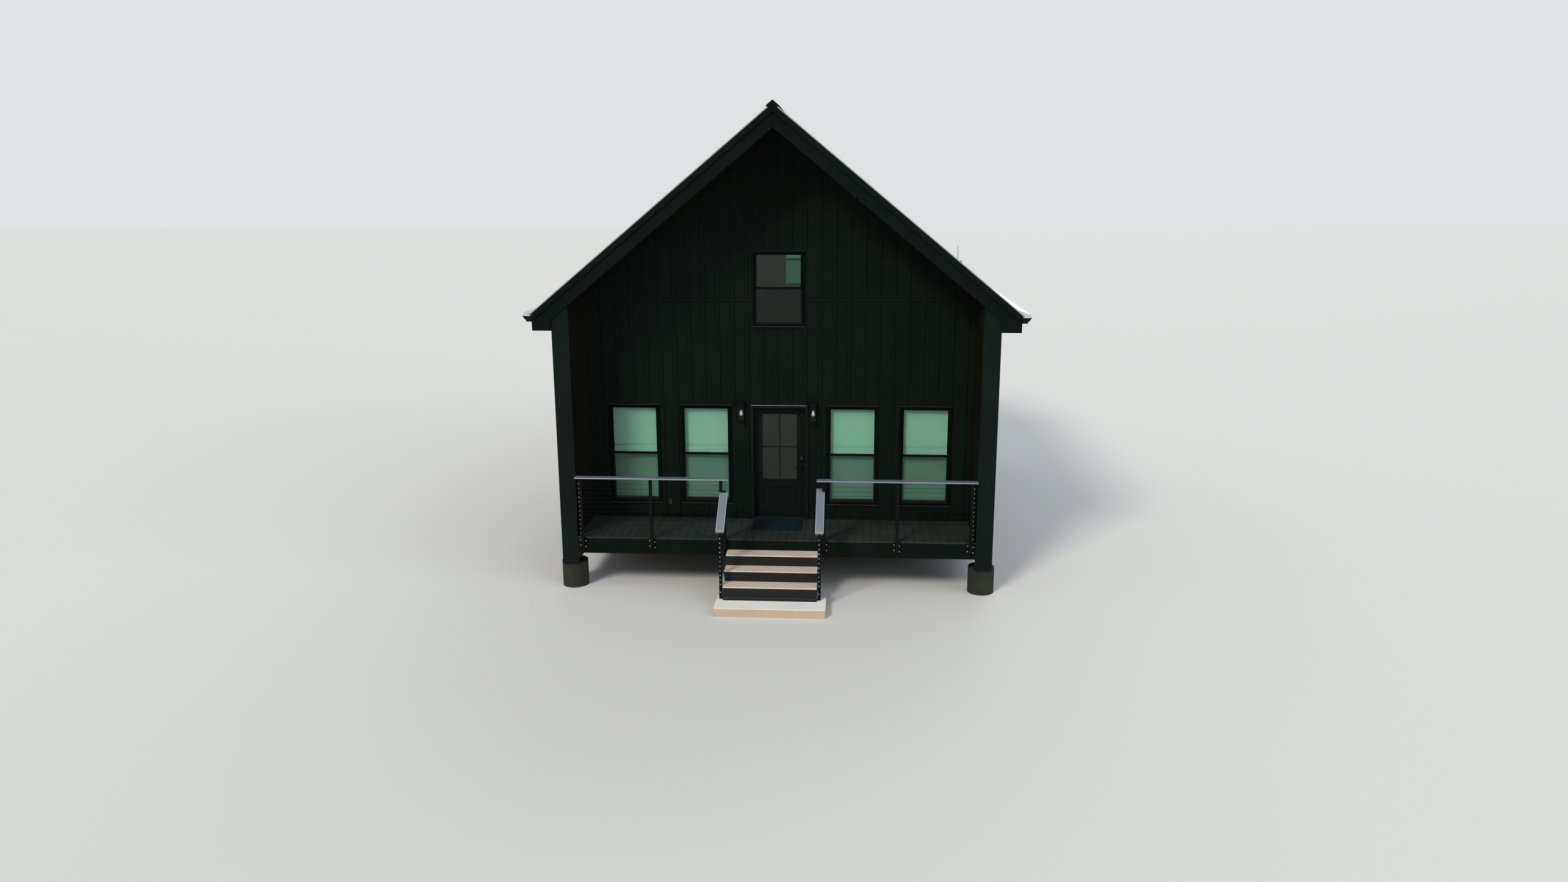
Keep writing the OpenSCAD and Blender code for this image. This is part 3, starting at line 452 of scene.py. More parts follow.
# Smooth painted, moulded and metal surfaces: "skin" is the depth of a fine noise, about 2 mm
# across, which is coarser than the real one so that it shows
satinLooks = {
    # Extruded vinyl: smooth and flat black, hardly a highlight
    "black vinyl": {"colour": "#050a08", "rough": 0.5, "specular": 0.03, "skin": 0.00006},
    # Sprayed enamel on a pressed skin: smooth, with a soft sheen
    "door enamel": {"colour": "#0e1412", "rough": 0.45, "specular": 0.06, "skin": 0.0001},
    # Baked powder: black with a fine orange peel
    "black powder coat": {"colour": "#0b100e", "rough": 0.5, "specular": 0.06, "skin": 0.00025},
    # Coil-coated sheet: even and satin
    "painted aluminium": {"colour": "#0b110f", "rough": 0.45, "specular": 0.08, "skin": 0.00008},
    # Folded coated sheet: a cool grey line that catches the sky
    "grey flashing": {"colour": "#2b3330", "rough": 0.45, "specular": 0.3, "skin": 0.00008},
    # Extruded threshold, walked dull: blue-grey
    "grey threshold": {"colour": "#182226", "rough": 0.4, "specular": 0.3, "skin": 0.00008},
    # Hem of coated sheet in pale grey, a painted highlight along the roof's edge: a matt line
    "pale aluminium, painted highlight": {"colour": "#8e9592", "rough": 0.4, "specular": 0.4, "skin": 0.00008},
    # Rolled, unfinished sheet: bright, with a broad soft shine
    "mill aluminium": {"colour": "#c9cdd0", "rough": 0.34, "metallic": 1.0, "skin": 0.00008},
    # Extruded and anodised: grey, with a blue that is a painted reflection of sky, its shine blurred
    "anodised aluminium": {"colour": "#7e8694", "rough": 0.5, "metallic": 0.7, "skin": 0.00008},
    # Twisted steel strand, painted nearly black for the shade it hangs in: a dark, dull line
    "wire rope": {"colour": "#0b0f0d", "rough": 0.65, "specular": 0.12, "skin": 0.0004},
    # Turned and polished: small bright glints
    "stainless steel": {"colour": "#a3a5a4", "rough": 0.3, "metallic": 1.0, "skin": 0.00004},
    # Extruded pipe: clean white with a soft gloss
    "white pvc": {"colour": "#e6e7e3", "rough": 0.4, "specular": 0.5, "skin": 0.0001},
    # Moulded rubber: black and matt
    "flashing rubber": {"colour": "#121212", "rough": 0.6, "specular": 0.15, "skin": 0.0003},
    # Moulded rubber ribs: blue-black, rough and dusty
    "mat rubber": {"colour": "#0d1c1f", "rough": 0.75, "specular": 0.12, "skin": 0.0008},
    # Blown frosted glass: milky, with one soft highlight
    "opal bulb glass": {"colour": "#b4b9b1", "rough": 0.18, "specular": 0.5, "skin": 0.00002},
    # Extruded slats, matt behind the glass: pale slats dimmed to grey-green by painted shade and a painted
    # green reflection
    "blind vinyl": {"colour": "#81908e", "rough": 0.55, "specular": 0.2, "skin": 0.00006},
    # Moulded vent core: flat black
    "black polypropylene": {"colour": "#080c0b", "rough": 0.6, "specular": 0.06, "skin": 0.0002},
    # Moulded cover: dark grey, slightly glossy
    "dark plastic": {"colour": "#1f2523", "rough": 0.5, "specular": 0.2, "skin": 0.0001},
    # Moulded keys, and the kick board's edge painted as a highlight: mid grey, slightly glossy
    "grey plastic": {"colour": "#4c5052", "rough": 0.45, "specular": 0.45, "skin": 0.0001},
}


def satinSurface(name, look):
    material, tree, shader, place = startMaterial(name, {"Metallic": look.get("metallic", 0.0)})
    if "specular" in look:
        shader.inputs["Specular IOR Level"].default_value = look["specular"]
    skin = addNode(tree, "ShaderNodeTexNoise", {"Scale": 420.0, "Detail": 2.0}, {"Vector": place})
    wear = addNode(tree, "ShaderNodeTexNoise", {"Scale": 5.0, "Detail": 5.0}, {"Vector": place})
    base = hexColour(look["colour"])
    faded = tuple(min(1.0, v * 1.22 + 0.0008) for v in base[:3]) + (1.0,)
    colour = addNode(tree, "ShaderNodeMix", {"data_type": "RGBA", 6: base, 7: faded},
                     {0: wear.outputs["Fac"]})
    rough = addNode(tree, "ShaderNodeMapRange", {
        "To Min": look["rough"] - 0.07, "To Max": look["rough"] + 0.12}, {"Value": wear.outputs["Fac"]})
    bump = addNode(tree, "ShaderNodeBump", {"Strength": 0.5, "Distance": look["skin"]},
                   {"Height": skin.outputs["Fac"]})
    tree.links.new(colour.outputs[2], shader.inputs["Base Color"])
    tree.links.new(rough.outputs[0], shader.inputs["Roughness"])
    tree.links.new(bump.outputs[0], shader.inputs["Normal"])
    return material


# Pores are to the metre, about 15 mm apart: coarser than real ones so that they show.
# Cast concrete, painted nearly black as the deep shade it stands in: matt, with faint clouds and
# pores. Cast concrete under dark masonry paint, a guess: matt and nearly black, with faint clouds and
# pores
pierShadeLook = {"dark": "#191d14", "pale": "#31362a", "pores": 65}
# Bare trowelled concrete, raised to near-white as painted sunlight: matt, with soft clouds
sunlitPadLook = dict(pierShadeLook, dark="#dddcd7", pale="#f6f5f1")


def castConcrete(name, look):
    material, tree, shader, place = startMaterial(name, {"Specular IOR Level": 0.25})
    cloud = addNode(tree, "ShaderNodeTexNoise", {"Scale": 4.0, "Detail": 8.0, "Roughness": 0.65},
                    {"Vector": place})
    pores = addNode(tree, "ShaderNodeTexVoronoi", {"Scale": look["pores"]}, {"Vector": place})
    pit = addNode(tree, "ShaderNodeMapRange", {"From Min": 0.0, "From Max": 0.28},
                  {"Value": pores.outputs["Distance"]})
    colour = addNode(tree, "ShaderNodeMix", {
        "data_type": "RGBA", 6: hexColour(look["dark"]), 7: hexColour(look["pale"])},
        {0: cloud.outputs["Fac"]})
    relief = addNode(tree, "ShaderNodeMath", {"operation": "MULTIPLY_ADD", 1: 0.5},
                     {0: cloud.outputs["Fac"], 2: pit.outputs[0]})
    bump = addNode(tree, "ShaderNodeBump", {"Strength": 0.5, "Distance": 0.0015},
                   {"Height": relief.outputs[0]})
    shader.inputs["Roughness"].default_value = 0.88
    tree.links.new(colour.outputs[2], shader.inputs["Base Color"])
    tree.links.new(bump.outputs[0], shader.inputs["Normal"])
    return material


# Asphalt shingles pressed with mineral granules: rough and matt, each tab a little lighter or
# darker. Granules are drawn about 3 mm across, twice the real size, so that they show.
shingleLook = {"dark": "#121415", "pale": "#35393a", "granule": 330, "tab": (0.31, 0.143)}


def mineralShingle(name, look):
    material, tree, shader, place = startMaterial(name, {"Specular IOR Level": 0.3})
    granules = addNode(tree, "ShaderNodeTexNoise", {"Scale": look["granule"], "Detail": 3.0},
                       {"Vector": place})
    parts = addNode(tree, "ShaderNodeSeparateXYZ", links={0: place})
    along = addNode(tree, "ShaderNodeMath", {"operation": "MULTIPLY", 1: 1 / look["tab"][0]},
                    {0: parts.outputs["Y"]})
    tab = addNode(tree, "ShaderNodeMath", {"operation": "FLOOR"}, {0: along.outputs[0]})
    down = addNode(tree, "ShaderNodeMath", {
        "operation": "MULTIPLY", 1: 1 / (look["tab"][1] * math.sin(slope))}, {0: parts.outputs["Z"]})
    course = addNode(tree, "ShaderNodeMath", {"operation": "FLOOR"}, {0: down.outputs[0]})
    cell = addNode(tree, "ShaderNodeCombineXYZ", links={"X": tab.outputs[0], "Y": course.outputs[0]})
    tone = addNode(tree, "ShaderNodeTexWhiteNoise", links={"Vector": cell.outputs[0]})
    blend = addNode(tree, "ShaderNodeMath", {"operation": "MULTIPLY_ADD", 1: 0.6},
                    {0: tone.outputs["Value"], 2: granules.outputs["Fac"]})
    spread = addNode(tree, "ShaderNodeMapRange", {"From Min": 0.3, "From Max": 1.2},
                     {"Value": blend.outputs[0]})
    colour = addNode(tree, "ShaderNodeMix", {
        "data_type": "RGBA", 6: hexColour(look["dark"]), 7: hexColour(look["pale"])},
        {0: spread.outputs[0]})
    bump = addNode(tree, "ShaderNodeBump", {"Strength": 0.7, "Distance": 0.0012},
                   {"Height": granules.outputs["Fac"]})
    shader.inputs["Roughness"].default_value = 0.9
    tree.links.new(colour.outputs[2], shader.inputs["Base Color"])
    tree.links.new(bump.outputs[0], shader.inputs["Normal"])
    return material


# Insulated float glass: clear, sharply reflecting, and open to the lamps' rays; its green tint, stronger than
# real glass, is a painted reflection of foliage
glassLook = {"tint": "#cbeede", "shadow": "#e3f6ef", "ior": 1.45}
# Glass tinted dark grey as a painted dark reflection: the same, but it darkens what lies behind. The gables'
# panes lie above "from".
darkReflectionGlassLook = {"tint": "#76a692", "shadow": "#b9c4c2", "ior": 1.45, "from": 3.7}


def windowGlass(name, look):
    material, tree, shader, place = startMaterial(name, {
        "Base Color": hexColour(look["tint"]), "Transmission Weight": 1.0, "IOR": look["ior"],
        "Roughness": 0.0, "Specular IOR Level": 0.3})
    # Dark grey tint up in the gables, a painted dark reflection where no blind hangs behind it
    parts = addNode(tree, "ShaderNodeSeparateXYZ", links={0: place})
    upper = addNode(tree, "ShaderNodeMath", {"operation": "GREATER_THAN", 1: darkReflectionGlassLook["from"]},
                    {0: parts.outputs["Z"]})
    tint = addNode(tree, "ShaderNodeMix", {
        "data_type": "RGBA", 6: hexColour(look["tint"]), 7: hexColour(darkReflectionGlassLook["tint"])},
        {0: upper.outputs[0]})
    tree.links.new(tint.outputs[2], shader.inputs["Base Color"])
    rays = addNode(tree, "ShaderNodeLightPath")
    clear = addNode(tree, "ShaderNodeBsdfTransparent", {"Color": hexColour(look["shadow"])})
    mix = addNode(tree, "ShaderNodeMixShader", links={
        0: rays.outputs["Is Shadow Ray"], 1: shader.outputs[0], 2: clear.outputs[0]})
    output = [n for n in tree.nodes if n.type == "OUTPUT_MATERIAL"][0]
    tree.links.new(mix.outputs[0], output.inputs["Surface"])
    return material


# Lantern glass, thin and blown: nearly nothing but a faint shine
lanternGlassLook = {"colour": "#4a524e", "alpha": 0.04, "rough": 0.05}


def thinGlass(name, look):
    return startMaterial(name, {"Base Color": hexColour(look["colour"]), "Alpha": look["alpha"],
                                "Roughness": look["rough"], "Specular IOR Level": 0.5})[0]


# Fibreglass insect screen, woven: a fine dark veil. Its real yarns are 1.4 mm apart, drawn at 4 mm.
screenLook = {"colour": "#0d1412", "pitch": 0.004, "yarn": 0.21}


def insectScreen(name, look):
    material, tree, shader, place = startMaterial(name, {
        "Base Color": hexColour(look["colour"]), "Roughness": 0.7, "Specular IOR Level": 0.3})
    parts = addNode(tree, "ShaderNodeSeparateXYZ", links={0: place})
    flat = addNode(tree, "ShaderNodeMath", {"operation": "ADD"},
                   {0: parts.outputs["X"], 1: parts.outputs["Y"]})
    threads = []
    for source in (flat.outputs[0], parts.outputs["Z"]):
        scaled = addNode(tree, "ShaderNodeMath", {"operation": "MULTIPLY", 1: 1 / look["pitch"]},
                         {0: source})
        part = addNode(tree, "ShaderNodeMath", {"operation": "FRACT"}, {0: scaled.outputs[0]})
        threads.append(addNode(tree, "ShaderNodeMath", {"operation": "LESS_THAN", 1: look["yarn"]},
                               {0: part.outputs[0]}).outputs[0])
    yarn = addNode(tree, "ShaderNodeMath", {"operation": "MAXIMUM"}, {0: threads[0], 1: threads[1]})
    tree.links.new(yarn.outputs[0], shader.inputs["Alpha"])
    return material


def toneWhere(material, tests, colour, blend="MIX"):
    # Another colour on the part of a finish where each (way, operation, limit) of its place holds
    tree = material.node_tree
    shader = [n for n in tree.nodes if n.type == "BSDF_PRINCIPLED"][0]
    place = [n for n in tree.nodes if n.type == "TEX_COORD"][0].outputs["Object"]
    parts = addNode(tree, "ShaderNodeSeparateXYZ", links={0: place})
    side = addNode(tree, "ShaderNodeMath", {"operation": "ABSOLUTE"}, {0: parts.outputs["X"]})
    ways = {"side": side.outputs[0], "along": parts.outputs["Y"], "up": parts.outputs["Z"]}
    inside = None
    for way, operation, limit in tests:
        part = addNode(tree, "ShaderNodeMath", {"operation": operation, 1: limit},
                       {0: ways[way]}).outputs[0]
        if inside:
            part = addNode(tree, "ShaderNodeMath", {"operation": "MULTIPLY"},
                           {0: inside, 1: part}).outputs[0]
        inside = part
    under = shader.inputs["Base Color"].links[0].from_socket
    laid = addNode(tree, "ShaderNodeMix", {
        "data_type": "RGBA", "blend_type": blend, 7: hexColour(colour)}, {0: inside, 6: under})
    tree.links.new(laid.outputs[2], shader.inputs["Base Color"])
    return material


# White gypsum board lines the outer walls inside, painted siding covers the porch walls outside,
# and the pad's sides are darker and browner than its top, soil in part and painted shade in part. "slack",
# "wall", "skin" and "edge" are where each tone ends.
toneLook = {"lining": "#d8d5cd", "outside": "#0c1511", "sideSoilAndShade": "#cbb8a5",
            "slack": 0.001, "wall": 0.179, "skin": 0.002, "edge": 0.006}

# The siding's black-green is painted shade and a painted reflection of foliage on dark paint
siding = toneWhere(grainedSurface("painted engineered siding", sidingLook), [
    ("side", "LESS_THAN", innerX + toneLook["slack"]),
    ("along", "GREATER_THAN", innerY - toneLook["slack"]),
    ("along", "LESS_THAN", backY - toneLook["wall"])], toneLook["lining"])
trim = grainedSurface("painted trim board, upright grain", trimLook)
rakeTrim = grainedSurface("painted trim board, raking grain", rakeLook)
levelTrim = grainedSurface("painted trim board, level grain", levelLook)
# The deck's dark green-grey is painted shade
decking = grainedSurface("composite decking, shade painted grey", shadedDeckLook)
# The treads' pale pink is painted sunlight on the same composite
treadBoard = grainedSurface("composite tread, sunlight painted pale", sunlitTreadLook)
lumber = grainedSurface("treated pine", lumberLook)
stairPaint = grainedSurface("faded black stair paint", stairLook)
# The brown of these boards is painted warm light on the dark siding
porchSide = toneWhere(grainedSurface("dark boards, warm light painted brown", porchWarmLightLook), [
    ("side", "GREATER_THAN", sideX - toneLook["skin"])], toneLook["outside"])
finish = {name: satinSurface(name, look) for name, look in satinLooks.items()}
# The piers' near-black colour is painted shade over cast concrete
concrete = castConcrete("cast concrete, shade painted near black", pierShadeLook)
# The pad's near-white top is painted sunlight; its darker sides are painted shade with some soil
padConcrete = toneWhere(castConcrete("trowelled concrete, light and shade painted", sunlitPadLook), [
    ("up", "LESS_THAN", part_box("stair_pad")[1].z - toneLook["edge"])], toneLook["sideSoilAndShade"], "MULTIPLY")
shingle = mineralShingle("asphalt shingle", shingleLook)
# The window glass's green tint is a painted reflection
glass = windowGlass("insulated window glass", glassLook)
# The door glass's dark grey is a painted reflection
doorLite = windowGlass("door glass, reflection painted dark grey", darkReflectionGlassLook)
lanternPane = thinGlass("clear lantern glass", lanternGlassLook)
screenCloth = insectScreen("fibreglass screen", screenLook)

# Each CAD node keeps its shape and gets a finish and eased edges
nodeFinishes = {
    "piers": (concrete, 0), "stair_pad": (padConcrete, 0.008), "beams": (lumber, 0.003),
    "floor_joists": (lumber, 0), "floor": (lumber, 0), "rim_board": (levelTrim, 0.002),
    "front_wall_left": (siding, 0), "front_wall_right": (siding, 0), "front_wall_head": (siding, 0),
    "front_gable": (siding, 0), "back_wall": (siding, 0), "back_gable": (siding, 0),
    "side_wall_left": (siding, 0), "side_wall_right": (siding, 0), "porch_walls": (porchSide, 0),
    "corner_boards": (trim, 0.003), "upper_floor": (lumber, 0), "roof_left": (siding, 0),
    "roof_right": (siding, 0), "rake_boards": (rakeTrim, 0.003), "eave_boxes": (levelTrim, 0.002),
    "gutters": (finish["painted aluminium"], 0), "gutter_guards": (finish["mill aluminium"], 0),
    "window_frames_front": (finish["black vinyl"], 0.0025),
    "window_frames_sides": (finish["black vinyl"], 0.0025),
    "window_frames_back": (finish["black vinyl"], 0.0025), "window_glass": (glass, 0),
    "door_frame": (trim, 0.003), "threshold": (finish["grey threshold"], 0.001),
    "door_leaf": (finish["door enamel"], 0.003), "door_glass": (doorLite, 0),
    "door_hinges": (finish["black powder coat"], 0), "frame_hinges": (finish["black powder coat"], 0),
    "lanterns": (finish["black powder coat"], 0.0015), "lantern_glass": (lanternPane, 0),
    "rail_posts": (finish["black powder coat"], 0.003), "rail_caps": (finish["anodised aluminium"], 0.008),
    "rail_cables": (finish["wire rope"], 0), "stair_frame": (stairPaint, 0.002),
    "vent_pipe": (finish["white pvc"], 0),
}


def dressNodes():
    for name, (material, ease) in nodeFinishes.items():
        node = nodes[name]
        node.data.materials.clear()
        node.data.materials.append(material)
        if ease:
            weld = node.modifiers.new("weld", "WELD")
            weld.merge_threshold = 0.00002
            bevel = node.modifiers.new("ease", "BEVEL")
            bevel.width = ease
            bevel.segments = 2
            bevel.limit_method = "ANGLE"
            bevel.angle_limit = math.radians(35)


dressNodes()
print("finishes: CAD nodes dressed")


# Battens on the siding: first one's middle, spacing, section, and the gaps left at edges and openings
battenLook = {"pitch": 0.2557, "first": -0.045, "width": 0.057, "thick": 0.017, "ease": 0.0015,
              "margin": 0.01, "shortest": 0.02, "doorLap": 0.010, "front": 0.16, "rear": 0.13}
bandLook = {"low": deckTop + 3.943, "high": deckTop + 3.995, "thick": 0.019, "lap": 0.012,
            "ease": 0.0015}


def clearSpans(low, high, cuts):
    # What is left of low..high after taking the cuts out
    spans = [(low, high)]
    for cutLow, cutHigh in cuts:
        parts = [part for a, b in spans for part in ((a, min(b, cutLow)), (max(a, cutHigh), b))]
        spans = [part for part in parts if part[1] - part[0] > battenLook["shortest"]]
    return spans


def gableBattens(name, face, outward, holes, low):
    # Upright battens on a gabled wall at y = face, broken at windows and at the band
    half = battenLook["width"] / 2
    near, far = sorted((face, face + outward * battenLook["thick"]))
    boxes = []
    count = int(porchX / battenLook["pitch"]) + 1
    for k in range(-count, count + 1):
        x = battenLook["first"] + k * battenLook["pitch"]
        if abs(x) > porchX - half - battenLook["margin"]:
            continue
        cuts = [(h[2], h[3]) for h in holes if h[0] < x + half and h[1] > x - half]
        cuts.append((bandLook["low"], bandLook["high"]))
        for a, b in clearSpans(low, roofZ(abs(x) - half, roofDepth), cuts):
            boxes.append(((x - half, near, a), (x + half, far, b)))
    piece = boardSet(name, boxes, battenLook["ease"])
    for sign in (1, -1):
        cutAway(piece, (0, face, roofZ(0, roofDepth)), (sign * math.sin(slope), 0, math.cos(slope)))
    dress(piece, siding, "cabin")


def wallHoles(node, axis):
    # Outlines of the frames in a CAD node, as (low, high) along the wall and up
    return [(low[axis], high[axis], low.z, high.z) for low, high in solidBoxes(node)]


def sideBattens():
    half = battenLook["width"] / 2
    start, end = frontY + battenLook["front"], backY - battenLook["rear"]
    count = int((end - start) / battenLook["pitch"])
    windows = list(zip(wallHoles("window_frames_sides", 1), solidBoxes("window_frames_sides")))
    boxes = []
    for side in (-1, 1):
        holes = [hole for hole, (low, high) in windows if low.x * side > 0]
        near, far = sorted((side * sideX, side * (sideX + battenLook["thick"])))
        for k in range(count + 1):
            y = start + half + k * (end - start - 2 * half) / count
            cuts = [(h[2], h[3]) for h in holes if h[0] < y + half and h[1] > y - half]
            for a, b in clearSpans(skirtLow, soffitZ, cuts):
                boxes.append(((near, y - half, a), (far, y + half, b)))
    dress(boardSet("side_battens", boxes, battenLook["ease"]), siding, "cabin")


def gableBands():
    # A level board across each gable where the sheets of siding meet
    boxes = []
    for face, outward, node in ((wallY, -1, "window_frames_front"), (backY, 1, "window_frames_back")):
        near, far = sorted((face, face + outward * bandLook["thick"]))
        middle = max(solidBoxes(node), key=lambda b: b[1].z)
        left, right = middle[0].x + bandLook["lap"], middle[1].x - bandLook["lap"]
        for low, high in ((-porchX, left), (right, porchX)):
            boxes.append(((low, near, bandLook["low"]), (high, far, bandLook["high"])))
    dress(boardSet("gable_bands", boxes, bandLook["ease"]), siding, "cabin")


frontHoles = wallHoles("window_frames_front", 0)
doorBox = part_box("door_frame")
frontHoles.append((doorBox[0].x + battenLook["doorLap"], doorBox[1].x - battenLook["doorLap"],
                   deckTop, doorBox[1].z))
gableBattens("front_battens", wallY, -1, frontHoles, deckTop)
gableBattens("back_battens", backY, 1, wallHoles("window_frames_back", 0), skirtLow)
sideBattens()
gableBands()
print("walls: battens and bands")


# Deck boards run from front to back; the first joint seen, and how many boards lie before it
deckBoards = {"pitch": 0.1453, "gap": 0.005, "firstJoint": -3.14, "before": 3, "ease": 0.003,
              "narrowest": 0.01}


def layDeck():
    low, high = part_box("deck")
    half = deckBoards["gap"] / 2
    boxes = []
    joint = deckBoards["firstJoint"] - deckBoards["pitch"] * deckBoards["before"]
    while joint < high.x:
        left = max(low.x, joint + half)
        right = min(high.x, joint + deckBoards["pitch"] - half)
        if right - left > deckBoards["narrowest"]:
            boxes.append(((left, low.y, low.z), (right, high.y, high.z)))
        joint += deckBoards["pitch"]
    piece = boardSet("deck_boards", boxes, deckBoards["ease"], 2)
    dress(piece, decking, "cabin", ["deck"])


layDeck()
print("porch: deck boards laid")


# Tongue and groove boards under the porch roof, and soffit boards with a vent slot between
liningBoards = {"face": 0.136, "pitch": 0.140, "thick": 0.006, "start": 0.012, "edge": 0.004,
                "narrowest": 0.02, "ease": 0.002}
soffitBoards = {"spans": ((3.705, 3.842), (3.862, 4.000)), "ends": 0.03, "thick": 0.004,
                "ease": 0.0015}


def lineRoof():
    offset = roofDepth * math.tan(slope)
    start = offset + liningBoards["start"]
    end = (porchX - liningBoards["edge"]) / math.cos(slope) + offset
    boxes = []
    while start < end - liningBoards["narrowest"]:
        boxes.append(((start, frontY, -roofDepth - liningBoards["thick"]),
                      (min(end, start + liningBoards["face"]), wallY, -roofDepth)))
        start += liningBoards["pitch"]
    right = boardSet("porch_ceiling", boxes, liningBoards["ease"])
    putAt(right, slopeAt((0, 0, roofZ(0))))
    ceiling = bothSlopes(right, frontY, wallY, "porch_ceiling")
    dress(ceiling, porchSide, "cabin")
    boxes = []
    for side in (-1, 1):
        for x0, x1 in soffitBoards["spans"]:
            low, high = sorted((side * x0, side * x1))
            boxes.append(((low, frontY + soffitBoards["ends"], soffitZ - soffitBoards["thick"]),
                          (high, backY - soffitBoards["ends"], soffitZ)))
    dress(boardSet("soffit_boards", boxes, soffitBoards["ease"]), levelTrim, "cabin")


lineRoof()

# Courses of shingles: each row's strip, and the thicker teeth laid on it at random
shingleRows = {"exposure": 0.143, "length": 0.19, "thick": 0.0035, "lift": 0.005, "rows": 4,
               "first": 0.2, "tooth": (0.11, 0.27), "gap": (0.09, 0.24), "last": 0.05,
               "back": 0.004, "nose": 0.0005, "toothFrom": 0.5, "toothTo": 1.9, "seed": 7}
# The boards under them: top and underside, the gap at the ridge, and the slab's depth and cut there
roofBoards = {"top": 0.0005, "under": -0.012, "gap": 0.003, "depth": 0.0129, "cut": 0.004}
# Folded metal over the shingles' ends: depths of its two faces below the roof's plane
edgeLook = {"thick": 0.0015, "hem": (0.003, 0.018), "face": (0.018, 0.0245), "short": 0.017,
            "back": 0.001}


def layShingles():
    rng = random.Random(shingleRows["seed"])
    inset = Vector((0, edgeLook["thick"], 0))
    low, high = roofBox[0] + inset, roofBox[1] - inset
    run = high.x / math.cos(slope)
    exposure, length, thick = (shingleRows[key] for key in ("exposure", "length", "thick"))
    rowPieces = []
    for row in range(shingleRows["rows"]):
        # Each row's butt is at x = 0 here, and rows climb the slope towards -x
        course = [((-length, low.y, 0), (0, high.y, thick))]
        y = low.y + rng.uniform(0.0, shingleRows["first"])
        while y < high.y - shingleRows["last"]:
            tooth = rng.uniform(*shingleRows["tooth"])
            course.append(((-exposure + shingleRows["back"], y, thick * shingleRows["toothFrom"]),
                           (-shingleRows["nose"], min(high.y, y + tooth), thick * shingleRows["toothTo"])))
            y += tooth + rng.uniform(*shingleRows["gap"])
        piece = boardSet("row", course)
        putAt(piece, Matrix.Translation((-row * exposure - length, 0, 0))
              @ Matrix.Rotation(-shingleRows["lift"] / length, 4, "Y")
              @ Matrix.Translation((length, 0, 0)))
        rowPieces.append(piece)
    rows = joinPieces(rowPieces, "shingle_rows")
    climb = exposure * shingleRows["rows"]
    repeat(rows, int(run / climb) + 1, (-climb, 0, 0))
    base = boardSet("roof_boards", [((-run, low.y, roofBoards["under"]),
                                     (-roofBoards["gap"], high.y, roofBoards["top"]))])
    slab = joinPieces([rows, base], "shingles_right")
    # Down the slope from the ridge, its underside at the boards' depth
    putAt(slab, slopeAt((0, 0, roofZ(0, roofBoards["depth"]))) @ Matrix.Translation((run, 0, 0)))
    cutAway(slab, (roofBoards["cut"], 0, 0), (-1, 0, 0))
    cutAway(slab, (high.x, 0, 0), (1, 0, 0))
    other = duplicate(slab, Matrix.Translation((0, low.y + high.y, 0)) @ Matrix.Rotation(math.pi, 4, "Z"))
    settle(other)
    other.name = "shingles_left"
    dress(slab, shingle, "cabin", ["roofing"])
    dress(other, shingle, "cabin", ["roofing"])


# Bent cap shingles, "seat" above the roof's plane, over a core that is closed by a plate at each end
capLook = {"half": 0.128, "exposure": 0.145, "length": 0.2, "thick": 0.004, "lift": 0.004,
           "seat": 0.0275}
coreLook = {"high": 0.022, "ends": 0.002, "short": 0.008, "ease": 0.002, "drop": 0.001,
            "plateStart": 0.004, "plate": (-0.0235, 0.004)}


def capRidge():
    low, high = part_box("ridge_vent")
    flap, length, thick = (capLook[key] for key in ("half", "length", "thick"))
    cap = boardSet("cap", [((0, 0, 0), (flap, length, thick))])
    other = boardSet("cap", [((-flap, 0, 0), (0, length, thick))])
    for piece, side in ((cap, 1), (other, -1)):
        putAt(piece, Matrix.Rotation(side * slope, 4, "Y")
              @ Matrix.Rotation(-capLook["lift"] / length, 4, "X"))
    cap = joinPieces([cap, other], "cap")
    run = high.y - low.y - length
    count = int(run / capLook["exposure"]) + 1
    repeat(cap, count, (0, run / (count - 1), 0))
    putAt(cap, Matrix.Translation((0, low.y, roofZ(0) + capLook["seat"])))
    cap.name = "ridge_caps"
    dress(cap, shingle, "cabin", ["ridge_vent"])
    cores = []
    end, thick = flap - edgeLook["short"], edgeLook["thick"]
    foot, top = coreLook["plate"]
    for y, turn in ((0, 0), (low.y + high.y, math.pi)):
        core = boardSet("core", [((0, low.y + coreLook["ends"], 0),
                                  (flap - coreLook["short"], high.y - coreLook["ends"], coreLook["high"]))],
                        coreLook["ease"])
        # The plate hides the roof boards down to the gable boards
        plates = boardSet("plates", [((coreLook["plateStart"], at, foot), (end, at + thick, top))
                                     for at in (low.y, high.y - thick)])
        core = joinPieces([core, plates], "core")
        putAt(core, Matrix.Translation((0, y, roofZ(0) - coreLook["drop"]))
              @ Matrix.Rotation(turn, 4, "Z") @ Matrix.Rotation(slope, 4, "Y"))
        cores.append(core)
    core = joinPieces(cores, "ridge_vent_core")
    dress(core, finish["black polypropylene"], "cabin", ["ridge_vent"])


def edgeMetal():
    # Drip edge on the rakes: a grey face with a pale hem above it, the hem a painted highlight
    low, high = roofBox
    start = capLook["half"] - edgeLook["short"]
    end = high.x / math.cos(slope) - edgeLook["back"]
    thick = edgeLook["thick"]
    for name, look, part in (("drip_edge", "grey flashing", "face"),
                             ("drip_edge_hem", "pale aluminium, painted highlight", "hem")):
        top, foot = edgeLook[part]
        strips = [((start, y, -foot), (end, y + thick, -top)) for y in (low.y, high.y - thick)]
        piece = boardSet(name, strips)
        putAt(piece, slopeAt((0, 0, roofZ(0))))
        dress(bothSlopes(piece, low.y, high.y, name), finish[look], "cabin")


